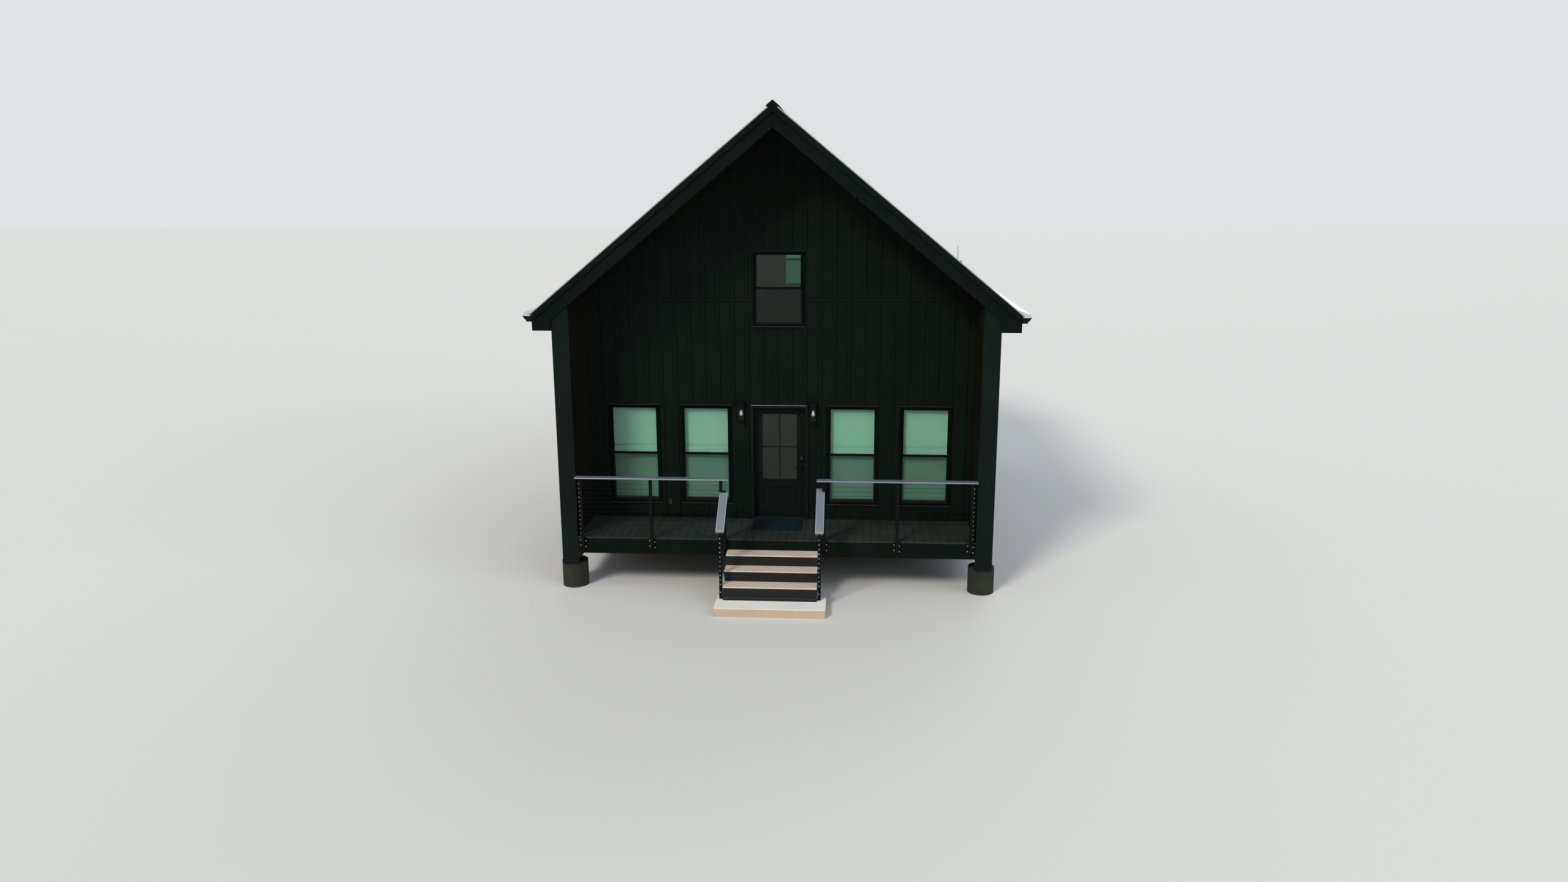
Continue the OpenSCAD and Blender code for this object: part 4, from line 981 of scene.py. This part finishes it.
# Overlaps between lengths of guard, up the flat and down the front: each strip's distance back
# from the lip, height above the gutter, length up the slope and angle
lapLook = {"pitch": 1.22, "width": 0.014, "thick": 0.0012,
           "strips": ((0.062, 0.0732, 0.058, math.atan(0.82)), (0.031, 0.0629, 0.031, math.radians(19)))}
# End plates of the guards: their outline, back from the lip and up from the gutter, to the shingles
endLook = {"outline": [(0.0, 0.0015), (0.008, 0.0315), (0.030, 0.0595), (0.062, 0.070), (0.219, 0.1225)],
           "inset": 0.0005, "thick": 0.002, "back": 0.30, "high": 0.125, "depth": 0.034}


def lapGuards():
    low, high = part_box("gutter_guards")
    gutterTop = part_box("gutters")[1].z
    count = int((high.y - low.y) / lapLook["pitch"])
    pieces = []
    for back, up, length, angle in lapLook["strips"]:
        boxes = []
        for k in range(1, count + 1):
            y = low.y + k * lapLook["pitch"]
            boxes.append(((-length, y, 0), (0, y + lapLook["width"], lapLook["thick"])))
        strip = boardSet("lap", boxes)
        putAt(strip, Matrix.Translation((high.x - back, 0, gutterTop + up)) @ Matrix.Rotation(angle, 4, "Y"))
        pieces.append(strip)
    right = joinPieces(pieces, "guard_laps")
    laps = bothSlopes(right, low.y, high.y, "guard_laps")
    dress(laps, finish["mill aluminium"], "cabin")


def closeGuards():
    low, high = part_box("gutter_guards")
    lip, base = high.x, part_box("gutters")[1].z
    inset, thick = endLook["inset"], endLook["thick"]
    outline = [(lip - back, base + up) for back, up in endLook["outline"]]
    plate = boardSet("guard_end", [((lip - endLook["back"], low.y + inset, base),
                                    (lip, low.y + inset + thick, base + endLook["high"]))])
    for (x0, z0), (x1, z1) in zip(outline, outline[1:]):
        cutAway(plate, (x0, 0, z0), (z1 - z0, 0, x0 - x1))
    cutAway(plate, (lip, 0, roofZ(lip, endLook["depth"])), (-math.sin(slope), 0, -math.cos(slope)))
    other = duplicate(plate, Matrix.Translation((0, high.y - low.y - 2 * inset - thick, 0)))
    settle(other)
    pair = joinPieces([plate, other], "guard_ends")
    ends = bothSlopes(pair, low.y, high.y, "guard_ends")
    dress(ends, finish["mill aluminium"], "cabin")


# The pipe's rubber boot, as (radius, height) steps, and its square flange
bootLook = {"steps": [(0.092, 0.0), (0.080, 0.030), (0.060, 0.052), (0.050, 0.066), (0.0475, 0.085),
                      (0.0462, 0.087)],
            "sides": 32, "lift": 0.006, "cut": 0.004, "flange": (0.16, 0.14),
            "sheet": (0.009, 0.0115), "ease": 0.001}


def bootPipe():
    low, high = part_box("vent_pipe")
    x, y = (low.x + high.x) / 2, (low.y + high.y) / 2
    base = roofZ(x)
    collar = turned("boot", bootLook["steps"], bootLook["sides"])
    putAt(collar, Matrix.Translation((x, y, base + bootLook["lift"])))
    cutAway(collar, (x, y, base + bootLook["cut"]), (-math.sin(slope), 0, -math.cos(slope)))
    reach, half = bootLook["flange"]
    under, top = bootLook["sheet"]
    flange = boardSet("flange", [((-reach, y - half, under), (reach, y + half, top))], bootLook["ease"])
    putAt(flange, slopeAt((x, 0, base)))
    dress(joinPieces([collar, flange], "pipe_boot"), finish["flashing rubber"], "cabin")


layShingles()
capRidge()
edgeMetal()
lapGuards()
closeGuards()
bootPipe()
print("roof: shingles, caps and drip edge")


# Double-hung windows: widths of their members and the depths (y) of what is laid on them.
# The side trim and head trim are what a CAD frame is larger than its window.
windowLook = {"frame": 0.030, "sash": 0.034, "foot": 0.030, "rail": 0.040, "lap": 0.008, "meetUp": 0.032,
              "bead": 0.009, "beadEase": 0.002, "upperDepth": (0.0065, 0.013),
              "lowerDepth": (0.0365, 0.043), "sideTrim": 0.024, "headTrim": 0.008}
# Cam lock, up from the meeting rail, and two lift rails, up from the sash's foot
lockLook = {"cam": [((-0.03, 0.036, 0.0), (0.03, 0.060, 0.003)),
                    ((-0.012, 0.040, 0.002), (0.036, 0.052, 0.006))],
            "lifts": [((-0.17, 0.062, 0.02), (-0.07, 0.074, 0.032)),
                      ((0.07, 0.062, 0.02), (0.17, 0.074, 0.032))], "ease": 0.002}
# Folded strips that catch the light: on the head, up from the window's top, and along the sill.
# Each is (past the window's side, near depth, far depth, low, high).
stripLook = {"head": [(0.0125, -0.0352, -0.0335, 0.003, 0.0092), (0.0125, -0.0352, 0.0, 0.0078, 0.0092)],
             "sill": [(0.0065, -0.0332, -0.0315, 0.008, 0.0172), (0.0065, -0.0332, -0.0205, 0.0158, 0.0172)]}
screenSizes = {"bar": 0.014, "gap": 0.002, "depth": (-0.009, -0.001), "ease": 0.0015,
               "cloth": -0.004, "tuck": 0.02}
# Blinds: closed, bowed slats between a head rail and a bottom rail
slatLook = {"pitch": 0.0215, "width": 0.025, "bow": 0.0012, "thick": 0.0006, "tilt": 83, "low": 0.110,
            "top": 0.03, "side": 0.016, "depth": 0.094, "first": 0.012, "spare": 0.03,
            "bends": ((0.3, 0.75), (0.1, 0.25))}
blindRails = {"head": (0.013, 0.082, 0.106, -0.040, -0.001), "foot": (0.015, 0.086, 0.102, -0.010, 0.002),
              "ease": 0.002, "tallFrom": 1.5}


def windowKinds():
    # Windows by size: the places of each as ((x, y, foot), turn)
    kinds = {}

    def note(run, rise, place, turn):
        size = (round(run - windowLook["sideTrim"], 3), round(rise - windowLook["headTrim"], 3))
        kinds.setdefault(size, []).append((place, turn))

    for node, turn, y in (("window_frames_front", 0, wallY), ("window_frames_back", math.pi, backY)):
        for low, high in solidBoxes(node):
            note(high.x - low.x, high.z - low.z, ((low.x + high.x) / 2, y, low.z), turn)
    for low, high in solidBoxes("window_frames_sides"):
        side = 1 if low.x > 0 else -1
        place = (side * sideX, (low.y + high.y) / 2, low.z)
        note(high.y - low.y, high.z - low.z, place, side * math.pi / 2)
    return kinds


def ringBoxes(x0, x1, z0, z1, bar, y0, y1):
    # Four bars round a rectangle's inside
    return [((x0, y0, z0), (x0 + bar, y1, z1)), ((x1 - bar, y0, z0), (x1, y1, z1)),
            ((x0 + bar, y0, z0), (x1 - bar, y1, z0 + bar)), ((x0 + bar, y0, z1 - bar), (x1 - bar, y1, z1))]


def raised(boxes, lift):
    return [((a, b, c + lift), (d, e, f + lift)) for (a, b, c), (d, e, f) in boxes]


def acrossBox(half, sizes, lift=0.0):
    # A bar across a window from (past its side, near depth, far depth, low, high)
    past, near, far, low, high = sizes
    return ((-half - past, near, low + lift), (half + past, far, high + lift))


def bowedSlat(width):
    deselect()
    bpy.ops.mesh.primitive_grid_add(x_subdivisions=1, y_subdivisions=4, size=1)
    slat = bpy.context.object
    slat.scale = (width - 2 * slatLook["side"], slatLook["width"], 1)
    settle(slat)
    for inside, rise in slatLook["bends"]:
        shapeAt(slat, lambda v: abs(v.y) < inside * slatLook["width"], (0, 0, rise * slatLook["bow"]))
    choose(slat)
    shell = slat.modifiers.new("shell", "SOLIDIFY")
    shell.thickness = slatLook["thick"]
    bpy.ops.object.modifier_apply(modifier=shell.name)
    return slat


# Each set of window parts: its finish, its slot and the CAD node it replaces
windowSets = {
    "glazing_beads": ("black vinyl", "window_frames", ()),
    "sash_locks": ("black powder coat", "window_frames", ()),
    "window_strips": ("grey flashing", "window_frames", ()),
    "screen_frames": ("black vinyl", "window_frames", ()),
    "insect_screens": (None, "window_frames", ()),
    "blind_slats": ("blind vinyl", "blinds", ["blinds"]),
    "blind_rails": ("blind vinyl", "blinds", ["blinds"]),
}


def finishWindows():
    made = {name: [] for name in windowSets}
    w = windowLook
    for (width, height), places in windowKinds().items():
        meet = 0.5 * height + w["meetUp"]
        half = width / 2 - w["frame"] - w["sash"]
        upper = (-half, half, meet, height - w["frame"] - w["sash"] + w["lap"])
        lower = (-half, half, w["foot"] + w["rail"], meet - w["sash"])
        boxes = (ringBoxes(*upper, w["bead"], *w["upperDepth"])
                 + ringBoxes(*lower, w["bead"], *w["lowerDepth"]))
        made["glazing_beads"].append(copyTo(boardSet("bead", boxes, w["beadEase"]), places, "bead"))
        boxes = raised(lockLook["cam"], meet) + raised(lockLook["lifts"], w["foot"])
        made["sash_locks"].append(copyTo(boardSet("lock", boxes, lockLook["ease"]), places, "lock"))
        boxes = ([acrossBox(width / 2, sizes, height) for sizes in stripLook["head"]]
                 + [acrossBox(width / 2, sizes) for sizes in stripLook["sill"]])
        made["window_strips"].append(copyTo(boardSet("strip", boxes), places, "strip"))
        # Half screen over the lower sash
        gap = screenSizes["gap"]
        reach = width / 2 - w["frame"] - gap
        bars = ringBoxes(-reach, reach, w["foot"] + gap, meet - gap, screenSizes["bar"],
                         *screenSizes["depth"])
        made["screen_frames"].append(copyTo(
            boardSet("screen frame", bars, screenSizes["ease"]), places, "screen frame"))
        deselect()
        bpy.ops.mesh.primitive_plane_add(size=1, rotation=(math.pi / 2, 0, 0),
                                         location=(0, screenSizes["cloth"], (w["foot"] + meet) / 2))
        cloth = bpy.context.object
        cloth.scale = (2 * reach - screenSizes["tuck"], meet - w["foot"] - screenSizes["tuck"], 1)
        settle(cloth)
        made["insect_screens"].append(copyTo(cloth, places, "screen"))
        if height < blindRails["tallFrom"]:
            continue
        blindLow, blindHigh = slatLook["low"], height - slatLook["top"]
        slat = bowedSlat(width)
        slat.rotation_euler = (math.radians(slatLook["tilt"]), 0, 0)
        slat.location = (0, slatLook["depth"], blindLow + slatLook["first"])
        settle(slat)
        count = int((blindHigh - blindLow - slatLook["spare"]) / slatLook["pitch"])
        repeat(slat, count, (0, 0, slatLook["pitch"]))
        made["blind_slats"].append(copyTo(slat, places, "slat"))
        rails = []
        for part, lift in (("head", height), ("foot", blindLow)):
            inset, near, far, low, high = blindRails[part]
            rails.append(acrossBox(width / 2, (-inset, near, far, low, high), lift))
        made["blind_rails"].append(copyTo(boardSet("rails", rails, blindRails["ease"]), places, "rails"))
    for name, (look, slot, stoodFor) in windowSets.items():
        piece = joinPieces(made[name], name)
        if name == "blind_slats":
            choose(piece)
            bpy.ops.object.shade_smooth_by_angle(angle=math.radians(40))
        dress(piece, finish[look] if look else screenCloth, "cabin", stoodFor)


finishWindows()
print("windows: beads, locks, screens and blinds")


# Door: muntins on the glass, an ogee strip round the lower panel, a head strip and a sweep.
# The face is how far the leaf's own face lies behind its mouldings.
doorLook = {"muntin": 0.020, "proud": 0.010, "sunk": 0.0005, "ease": 0.003, "face": 0.006}
panelLook = {"under": 0.135, "side": 0.022, "low": 0.332, "high": 0.017, "bar": 0.012,
             "depth": (-0.008, 0.012), "ease": 0.005}
headLook = {"half": 0.500, "proud": 0.0015, "behind": 0.0005, "drop": 0.006, "thick": 0.0012}
sweepLook = {"side": 0.01, "thick": 0.004, "low": 0.002, "high": 0.038, "ease": 0.0015}


def finishDoor():
    low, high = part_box("door_glass")
    mid = (low.z + high.z) / 2
    bar, proud, sunk = doorLook["muntin"] / 2, doorLook["proud"], doorLook["sunk"]
    boxes = []
    for y0, y1 in ((low.y - proud, low.y + sunk), (high.y - sunk, high.y + proud)):
        boxes.append(((-bar, y0, low.z), (bar, y1, high.z)))
        boxes.append(((low.x, y0, mid - bar), (-bar, y1, mid + bar)))
        boxes.append(((bar, y0, mid - bar), (high.x, y1, mid + bar)))
    dress(boardSet("door_muntins", boxes, doorLook["ease"], 2), finish["door enamel"], "door")
    leafLow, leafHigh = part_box("door_leaf")
    faceY = leafLow.y + doorLook["face"]
    p = panelLook
    panelHigh = low.z - p["under"]
    panel = ringBoxes(low.x + p["side"], high.x - p["side"], panelHigh - p["low"], panelHigh - p["high"],
                      p["bar"], faceY + p["depth"][0], faceY + p["depth"][1])
    dress(boardSet("door_panel_bead", panel, p["ease"], 2), finish["door enamel"], "door")
    frameLow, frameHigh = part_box("door_frame")
    half, top = headLook["half"], frameHigh.z + headLook["thick"]
    head = boardSet("door_head_strip", [
        ((-half, frameLow.y - headLook["proud"], frameHigh.z - headLook["drop"]),
         (half, frameLow.y + headLook["behind"], top)),
        ((-half, frameLow.y, frameHigh.z), (half, wallY, top))])
    dress(head, finish["anodised aluminium"], "cabin")
    s = sweepLook
    sweep = boardSet("door_sweep", [((leafLow.x + s["side"], faceY - s["thick"], leafLow.z + s["low"]),
                                     (leafHigh.x - s["side"], faceY, leafLow.z + s["high"]))], s["ease"])
    dress(sweep, finish["painted aluminium"], "door")


# Lever: heights up the leaf, then each round part as (radius, how far out it reaches)
leverLook = {"spindle": 0.910, "deadbolt": 1.075, "backset": 0.060, "rose": (0.027, 0.011),
             "neck": (0.0105, 0.052), "reach": 0.108, "heel": 0.011, "halfDeep": 0.0065,
             "halfHigh": 0.010, "out": 0.050, "bends": (0.3, 0.6, 0.9), "inward": 0.003,
             "droop": 0.0015, "thin": 0.93, "ease": 0.004}
# Deadbolt: keypad plate and key cylinder outside, thumb turn inside
boltCover = {"half": (0.031, 0.057), "deep": 0.020, "ease": 0.006, "rose": (0.029, 0.013),
             "thumb": (0.005, 0.019), "thumbOut": (0.012, 0.033), "thumbEase": 0.003,
             "cylinder": 0.011, "cylinderOut": (0.019, 0.026), "cylinderDown": 0.038}
keypadLook = {"rows": 4, "columns": (-1, 0, 1), "across": 0.015, "top": 0.040, "down": 0.0155,
              "radius": 0.0052, "out": (0.0195, 0.0225), "ease": 0.0008}


def leverArm(x, y, z, out):
    # The grip thins and droops a little towards its end
    arm = boardSet("arm", [((x - leverLook["reach"], -leverLook["halfDeep"], z - leverLook["halfHigh"]),
                            (x + leverLook["heel"], leverLook["halfDeep"], z + leverLook["halfHigh"]))])
    arm.location = (0, y, 0)
    settle(arm)
    choose(arm)
    bpy.ops.object.mode_set(mode="EDIT")
    bpy.ops.mesh.select_all(action="SELECT")
    bpy.ops.mesh.subdivide(number_cuts=3)
    bpy.ops.object.mode_set(mode="OBJECT")
    for part in leverLook["bends"]:
        edge = x - part * leverLook["reach"]
        shapeAt(arm, lambda v: v.x < edge,
                (0, -out * leverLook["inward"] * part, -leverLook["droop"] * part),
                (1, 1, leverLook["thin"]), (edge, y, z))
    easeEdges(arm, leverLook["ease"], 3)
    bpy.ops.object.shade_smooth_by_angle(angle=math.radians(40))
    return arm


def makeLocks():
    leafLow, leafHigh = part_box("door_leaf")
    outY, inY = leafLow.y + doorLook["face"], leafHigh.y - doorLook["face"]
    x = leafHigh.x - leverLook["backset"]
    z = leafLow.z + leverLook["spindle"]
    boltZ = leafLow.z + leverLook["deadbolt"]
    parts = []
    for face, out in ((outY, -1), (inY, 1)):
        for name, sides, ease in (("rose", 32, 0.003), ("neck", 20, 0.001)):
            radius, reach = leverLook[name]
            parts.append(roundRod(name, radius, (x, face, z), (x, face + out * reach, z), sides, ease))
        parts.append(leverArm(x, face + out * leverLook["out"], z, out))
    b = boltCover
    wide, tall = b["half"]
    parts.append(boardSet("plate", [((x - wide, outY - b["deep"], boltZ - tall),
                                     (x + wide, outY, boltZ + tall))], b["ease"], 3))
    radius, reach = b["rose"]
    parts.append(roundRod("turn rose", radius, (x, inY, boltZ), (x, inY + reach, boltZ), 32, 0.003))
    wide, tall = b["thumb"]
    near, far = b["thumbOut"]
    parts.append(boardSet("thumb turn", [((x - wide, inY + near, boltZ - tall),
                                          (x + wide, inY + far, boltZ + tall))], b["thumbEase"], 2))
    near, far = b["cylinderOut"]
    keyZ = boltZ - b["cylinderDown"]
    parts.append(roundRod("cylinder", b["cylinder"], (x, outY - near, keyZ), (x, outY - far, keyZ),
                          24, 0.001))
    lockSet = joinPieces(parts, "door_lock_set")
    dress(lockSet, finish["black powder coat"], "door", ["door_hardware"])
    k = keypadLook
    near, far = k["out"]
    keys = []
    for row in range(k["rows"]):
        for column in k["columns"]:
            keyX, keyZ = x + column * k["across"], boltZ + k["top"] - row * k["down"]
            keys.append(roundRod("key", k["radius"], (keyX, outY - near, keyZ), (keyX, outY - far, keyZ),
                                 14, k["ease"]))
    dress(joinPieces(keys, "keypad_buttons"), finish["grey plastic"], "door")


finishDoor()
makeLocks()
print("door: muntins, panel, lever and keypad")


# Lanterns: how far their middle stands off the wall, and heights up from their foot. The frosted
# bulb is (radius, height) down from its socket, and the knob (radius, height) out from the lantern.
lanternLook = {"reach": 0.088, "socket": 0.190, "knobHigh": 0.290, "knobOut": 0.051,
               "bulb": [(0.012, 0.0), (0.0195, -0.004), (0.0205, -0.028), (0.026, -0.041),
                        (0.0335, -0.060), (0.0335, -0.071), (0.029, -0.086), (0.019, -0.098),
                        (0.006, -0.103)],
               "knob": [(0.010, 0.0), (0.010, 0.003), (0.0055, 0.005), (0.0055, 0.010), (0.009, 0.013),
                        (0.006, 0.018)]}


def hangBulbs():
    bulbs, knobs = [], []
    for low, high in solidBoxes("lanterns"):
        x, y = (low.x + high.x) / 2, wallY - lanternLook["reach"]
        bulbs.append(((x, y, low.z + lanternLook["socket"]), 0))
        knobs.append(((x, y - lanternLook["knobOut"], low.z + lanternLook["knobHigh"]), 0))
    dress(copyTo(turned("bulb", lanternLook["bulb"]), bulbs, "lantern_bulbs"),
          finish["opal bulb glass"], "cabin")
    dress(copyTo(layDown(turned("knob", lanternLook["knob"], 16)), knobs, "lantern_knobs"),
          finish["black powder coat"], "cabin")


hangBulbs()
print("lanterns: bulbs hung")


# Porch posts' middles and half their width; a stair post starts below this height
postLook = {"middles": (-3.319, -2.114, -0.909, 0.839, 2.079, 3.319), "last": 3.319, "half": 0.0255,
            "stairBelow": 0.5, "byStairs": 1.0}
# Hex bolts on the post plates: (across, heights down from the deck) for each column
boltLook = {"radius": 0.0095, "washer": 0.0115, "columns": ((-0.044, 0.052, 0.150), (0.044, 0.072, 0.172)),
            "washerThick": 0.003, "head": (0.002, 0.010), "washerEase": 0.0008, "headEase": 0.0015,
            "proud": 0.013, "stairHigh": 0.258, "stairAcross": -0.004}
# Angle bracket that holds a stair cap's foot to its post, with a screw at each corner
bracketLook = {"half": 0.050, "drop": 0.056, "thick": 0.003, "top": 0.002, "ease": 0.001,
               "screw": 0.040, "screwDrop": 0.041}
screwLook = [(0.0065, 0.0), (0.0065, 0.002), (0.0045, 0.005), (0.002, 0.006)]
# Cable ends: a dome nut outside the last post, a swaged sleeve inside it
domeLook = [(0.0105, 0.0), (0.0105, 0.006), (0.0095, 0.0065), (0.0095, 0.010), (0.007, 0.0135),
            (0.003, 0.015)]
sleeveLook = [(0.0055, 0.0), (0.0055, 0.010), (0.0036, 0.011), (0.0036, 0.048), (0.0026, 0.050)]
cableEnds = {"outer": 3.0, "level": 0.1, "footDown": 0.034, "topUp": 0.036, "topOut": 0.012,
             "reachesDeck": 0.03}


def hexBolt():
    washer = roundRod("washer", boltLook["washer"], (0, 0, 0), (0, -boltLook["washerThick"], 0), 20,
                      boltLook["washerEase"])
    near, far = boltLook["head"]
    head = roundRod("head", boltLook["radius"], (0, -near, 0), (0, -far, 0), 6)
    easeEdges(head, boltLook["headEase"], 2)
    return joinPieces([washer, head], "bolt")


def railHardware():
    stairPosts = [p for p in solidBoxes("rail_posts") if p[0].z < postLook["stairBelow"]]
    bolt = hexBolt()
    spots = []
    for middle in postLook["middles"]:
        for across, *drops in boltLook["columns"]:
            # The posts by the stairs have the outer column only
            if abs(middle) < postLook["byStairs"] and across * middle < 0:
                continue
            spots += [((middle + across, frontY - boltLook["proud"], deckTop - drop), 0) for drop in drops]
    brackets, screws = [], []
    half, drop, thick = bracketLook["half"], bracketLook["drop"], bracketLook["thick"]
    for low, high in stairPosts:
        x, top = (low.x + high.x) / 2, high.z - (high.y - low.y) * math.tan(stairPitch)
        spots.append(((x + boltLook["stairAcross"], low.y, boltLook["stairHigh"]), 0))
        brackets.append(((x - half, low.y - thick, top - drop), (x + half, low.y, top - bracketLook["top"])))
        for side in (-1, 1):
            screws.append(((x + side * bracketLook["screw"], low.y - thick,
                            top - bracketLook["screwDrop"]), 0))
    dress(boardSet("cap_brackets", brackets, bracketLook["ease"]), finish["black powder coat"], "cabin")
    dress(copyTo(layDown(turned("screw", screwLook, 12)), screws, "bracket_screws"),
          finish["stainless steel"], "cabin")
    dress(copyTo(bolt, spots, "rail_bolts"), finish["stainless steel"], "cabin")
    domes, sleeves = [], []
    for low, high in solidBoxes("rail_cables"):
        x, y, z = ((low[i] + high[i]) / 2 for i in range(3))
        if high.y - low.y < cableEnds["level"]:
            side = 1 if low.x > 0 else -1
            if max(abs(low.x), abs(high.x)) > cableEnds["outer"]:
                domes.append(((side * (postLook["last"] + postLook["half"]), y, z), side * math.pi / 2))
            if min(abs(low.x), abs(high.x)) < postLook["byStairs"]:
                sleeves.append(((low.x if side > 0 else high.x, y, z), side * math.pi / 2))
        else:
            foot = (x + boltLook["stairAcross"], stairPosts[0][0].y, low.z - cableEnds["footDown"])
            domes.append((foot, 0))
            if high.z > deckTop + cableEnds["reachesDeck"]:
                domes.append(((x, frontY - cableEnds["topOut"], high.z + cableEnds["topUp"]), math.pi))
    dress(copyTo(layDown(turned("dome", domeLook, 12)), domes, "cable_fittings"),
          finish["stainless steel"], "cabin")
    dress(copyTo(layDown(turned("sleeve", sleeveLook, 10)), sleeves, "cable_sleeves"),
          finish["wire rope"], "cabin")


railHardware()
print("rails: bolts and cable fittings")


# Two boards to a tread, rolled rims on the stair caps in bright metal that paints their highlight, and a pale
# strip painted as the highlight on the kick board's top edge
treadBoards = {"gap": 0.005, "ease": 0.003}
capRims = {"width": 0.011, "proud": 0.0012, "sunk": 0.001, "capThick": 0.025, "ease": 0.0008,
           "rightShorter": 0.066, "stairFrom": 0.5}
kickLook = {"side": 0.002, "depth": (0.001, 0.012), "height": (0.044, 0.0512), "ease": 0.001}


def layTreads():
    boxes = []
    gap = treadBoards["gap"] / 2
    for low, high in solidBoxes("stair_treads"):
        middle = (low.y + high.y) / 2
        boxes.append(((low.x, low.y, low.z), (high.x, middle - gap, high.z)))
        boxes.append(((low.x, middle + gap, low.z), (high.x, high.y, high.z)))
    dress(boardSet("tread_boards", boxes, treadBoards["ease"], 2), treadBoard, "cabin",
          ["stair_treads"])


def rimCaps():
    # Rolled edges along both long sides of each stair cap and across its foot, brighter than the cap as a
    # painted highlight
    wide, proud, sunk = capRims["width"], capRims["proud"], capRims["sunk"]
    parts = []
    for low, high in solidBoxes("rail_caps"):
        if low.y > frontY - capRims["stairFrom"]:
            continue
        across, length = high.x - low.x, (high.y - low.y) / math.cos(stairPitch)
        shorter = 0.0 if low.x < 0 else capRims["rightShorter"]
        rims = boardSet("rim", [((0, 0, -sunk), (wide, length, proud)),
                                ((across - wide, 0, -sunk), (across, length - shorter, proud)),
                                ((wide, 0, -sunk), (across - wide, wide, proud))], capRims["ease"])
        lift = capRims["capThick"] / math.cos(stairPitch)
        putAt(rims, Matrix.Translation((low.x, low.y, low.z + lift)) @ Matrix.Rotation(stairPitch, 4, "X"))
        parts.append(rims)
    dress(joinPieces(parts, "cap_rims"), finish["mill aluminium"], "cabin")


def edgeKick():
    # A pale strip painted as the lit top edge of the kick board
    low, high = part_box("stair_frame")
    near, far = kickLook["depth"]
    foot, top = kickLook["height"]
    edge = boardSet("kick_highlight_edge", [((low.x + kickLook["side"], low.y + near, low.z + foot),
                                   (high.x - kickLook["side"], low.y + far, low.z + top))],
                    kickLook["ease"])
    dress(edge, finish["grey plastic"], "cabin")


layTreads()
rimCaps()
edgeKick()
print("steps: tread boards")


# Outlet cover by the door: a base plate and a deeper lid set in by "lid"
outletLook = {"x": -1.988, "low": 0.248, "high": 0.350, "width": 0.076, "deep": 0.032, "base": 0.012,
              "lid": 0.006, "lidTop": 0.010, "sunk": 0.011, "ease": 0.005}
# Door mat: a raised border round ribs that run across it
matLook = {"border": 0.045, "rib": 0.006, "pitch": 0.016, "sheet": 0.004, "borderDeep": 0.005,
           "ribDeep": (0.0045, 0.001), "first": 0.008, "last": 0.01, "side": 0.006, "ease": 0.001}


def coverOutlet():
    o = outletLook
    x, half = o["x"], o["width"] / 2
    low, high = deckTop + o["low"], deckTop + o["high"]
    cover = boardSet("outlet_cover", [
        ((x - half, wallY - o["base"], low), (x + half, wallY, high)),
        ((x - half + o["lid"], wallY - o["deep"], low + o["lid"]),
         (x + half - o["lid"], wallY - o["sunk"], high - o["lidTop"]))], o["ease"], 3)
    dress(cover, finish["dark plastic"], "cabin")


def ribMat():
    low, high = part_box("door_mat")
    m = matLook
    left, right = low.x + m["border"], high.x - m["border"]
    near, far, rim = low.y + m["border"], high.y - m["border"], high.z - m["borderDeep"]
    boxes = [((low.x, low.y, low.z), (high.x, high.y, high.z - m["sheet"])),
             ((low.x, low.y, rim), (high.x, near, high.z)),
             ((low.x, far, rim), (high.x, high.y, high.z)),
             ((low.x, near, rim), (left, far, high.z)),
             ((right, near, rim), (high.x, far, high.z))]
    under, top = m["ribDeep"]
    y = near + m["first"]
    while y < far - m["last"]:
        boxes.append(((left + m["side"], y, high.z - under), (right - m["side"], y + m["rib"], high.z - top)))
        y += m["pitch"]
    dress(boardSet("door_mat_ribs", boxes, m["ease"]), finish["mat rubber"], "cabin", ["door_mat"])


coverOutlet()
ribMat()
print("fittings: outlet cover and mat")

bpy.context.scene.view_settings.view_transform = "Standard"
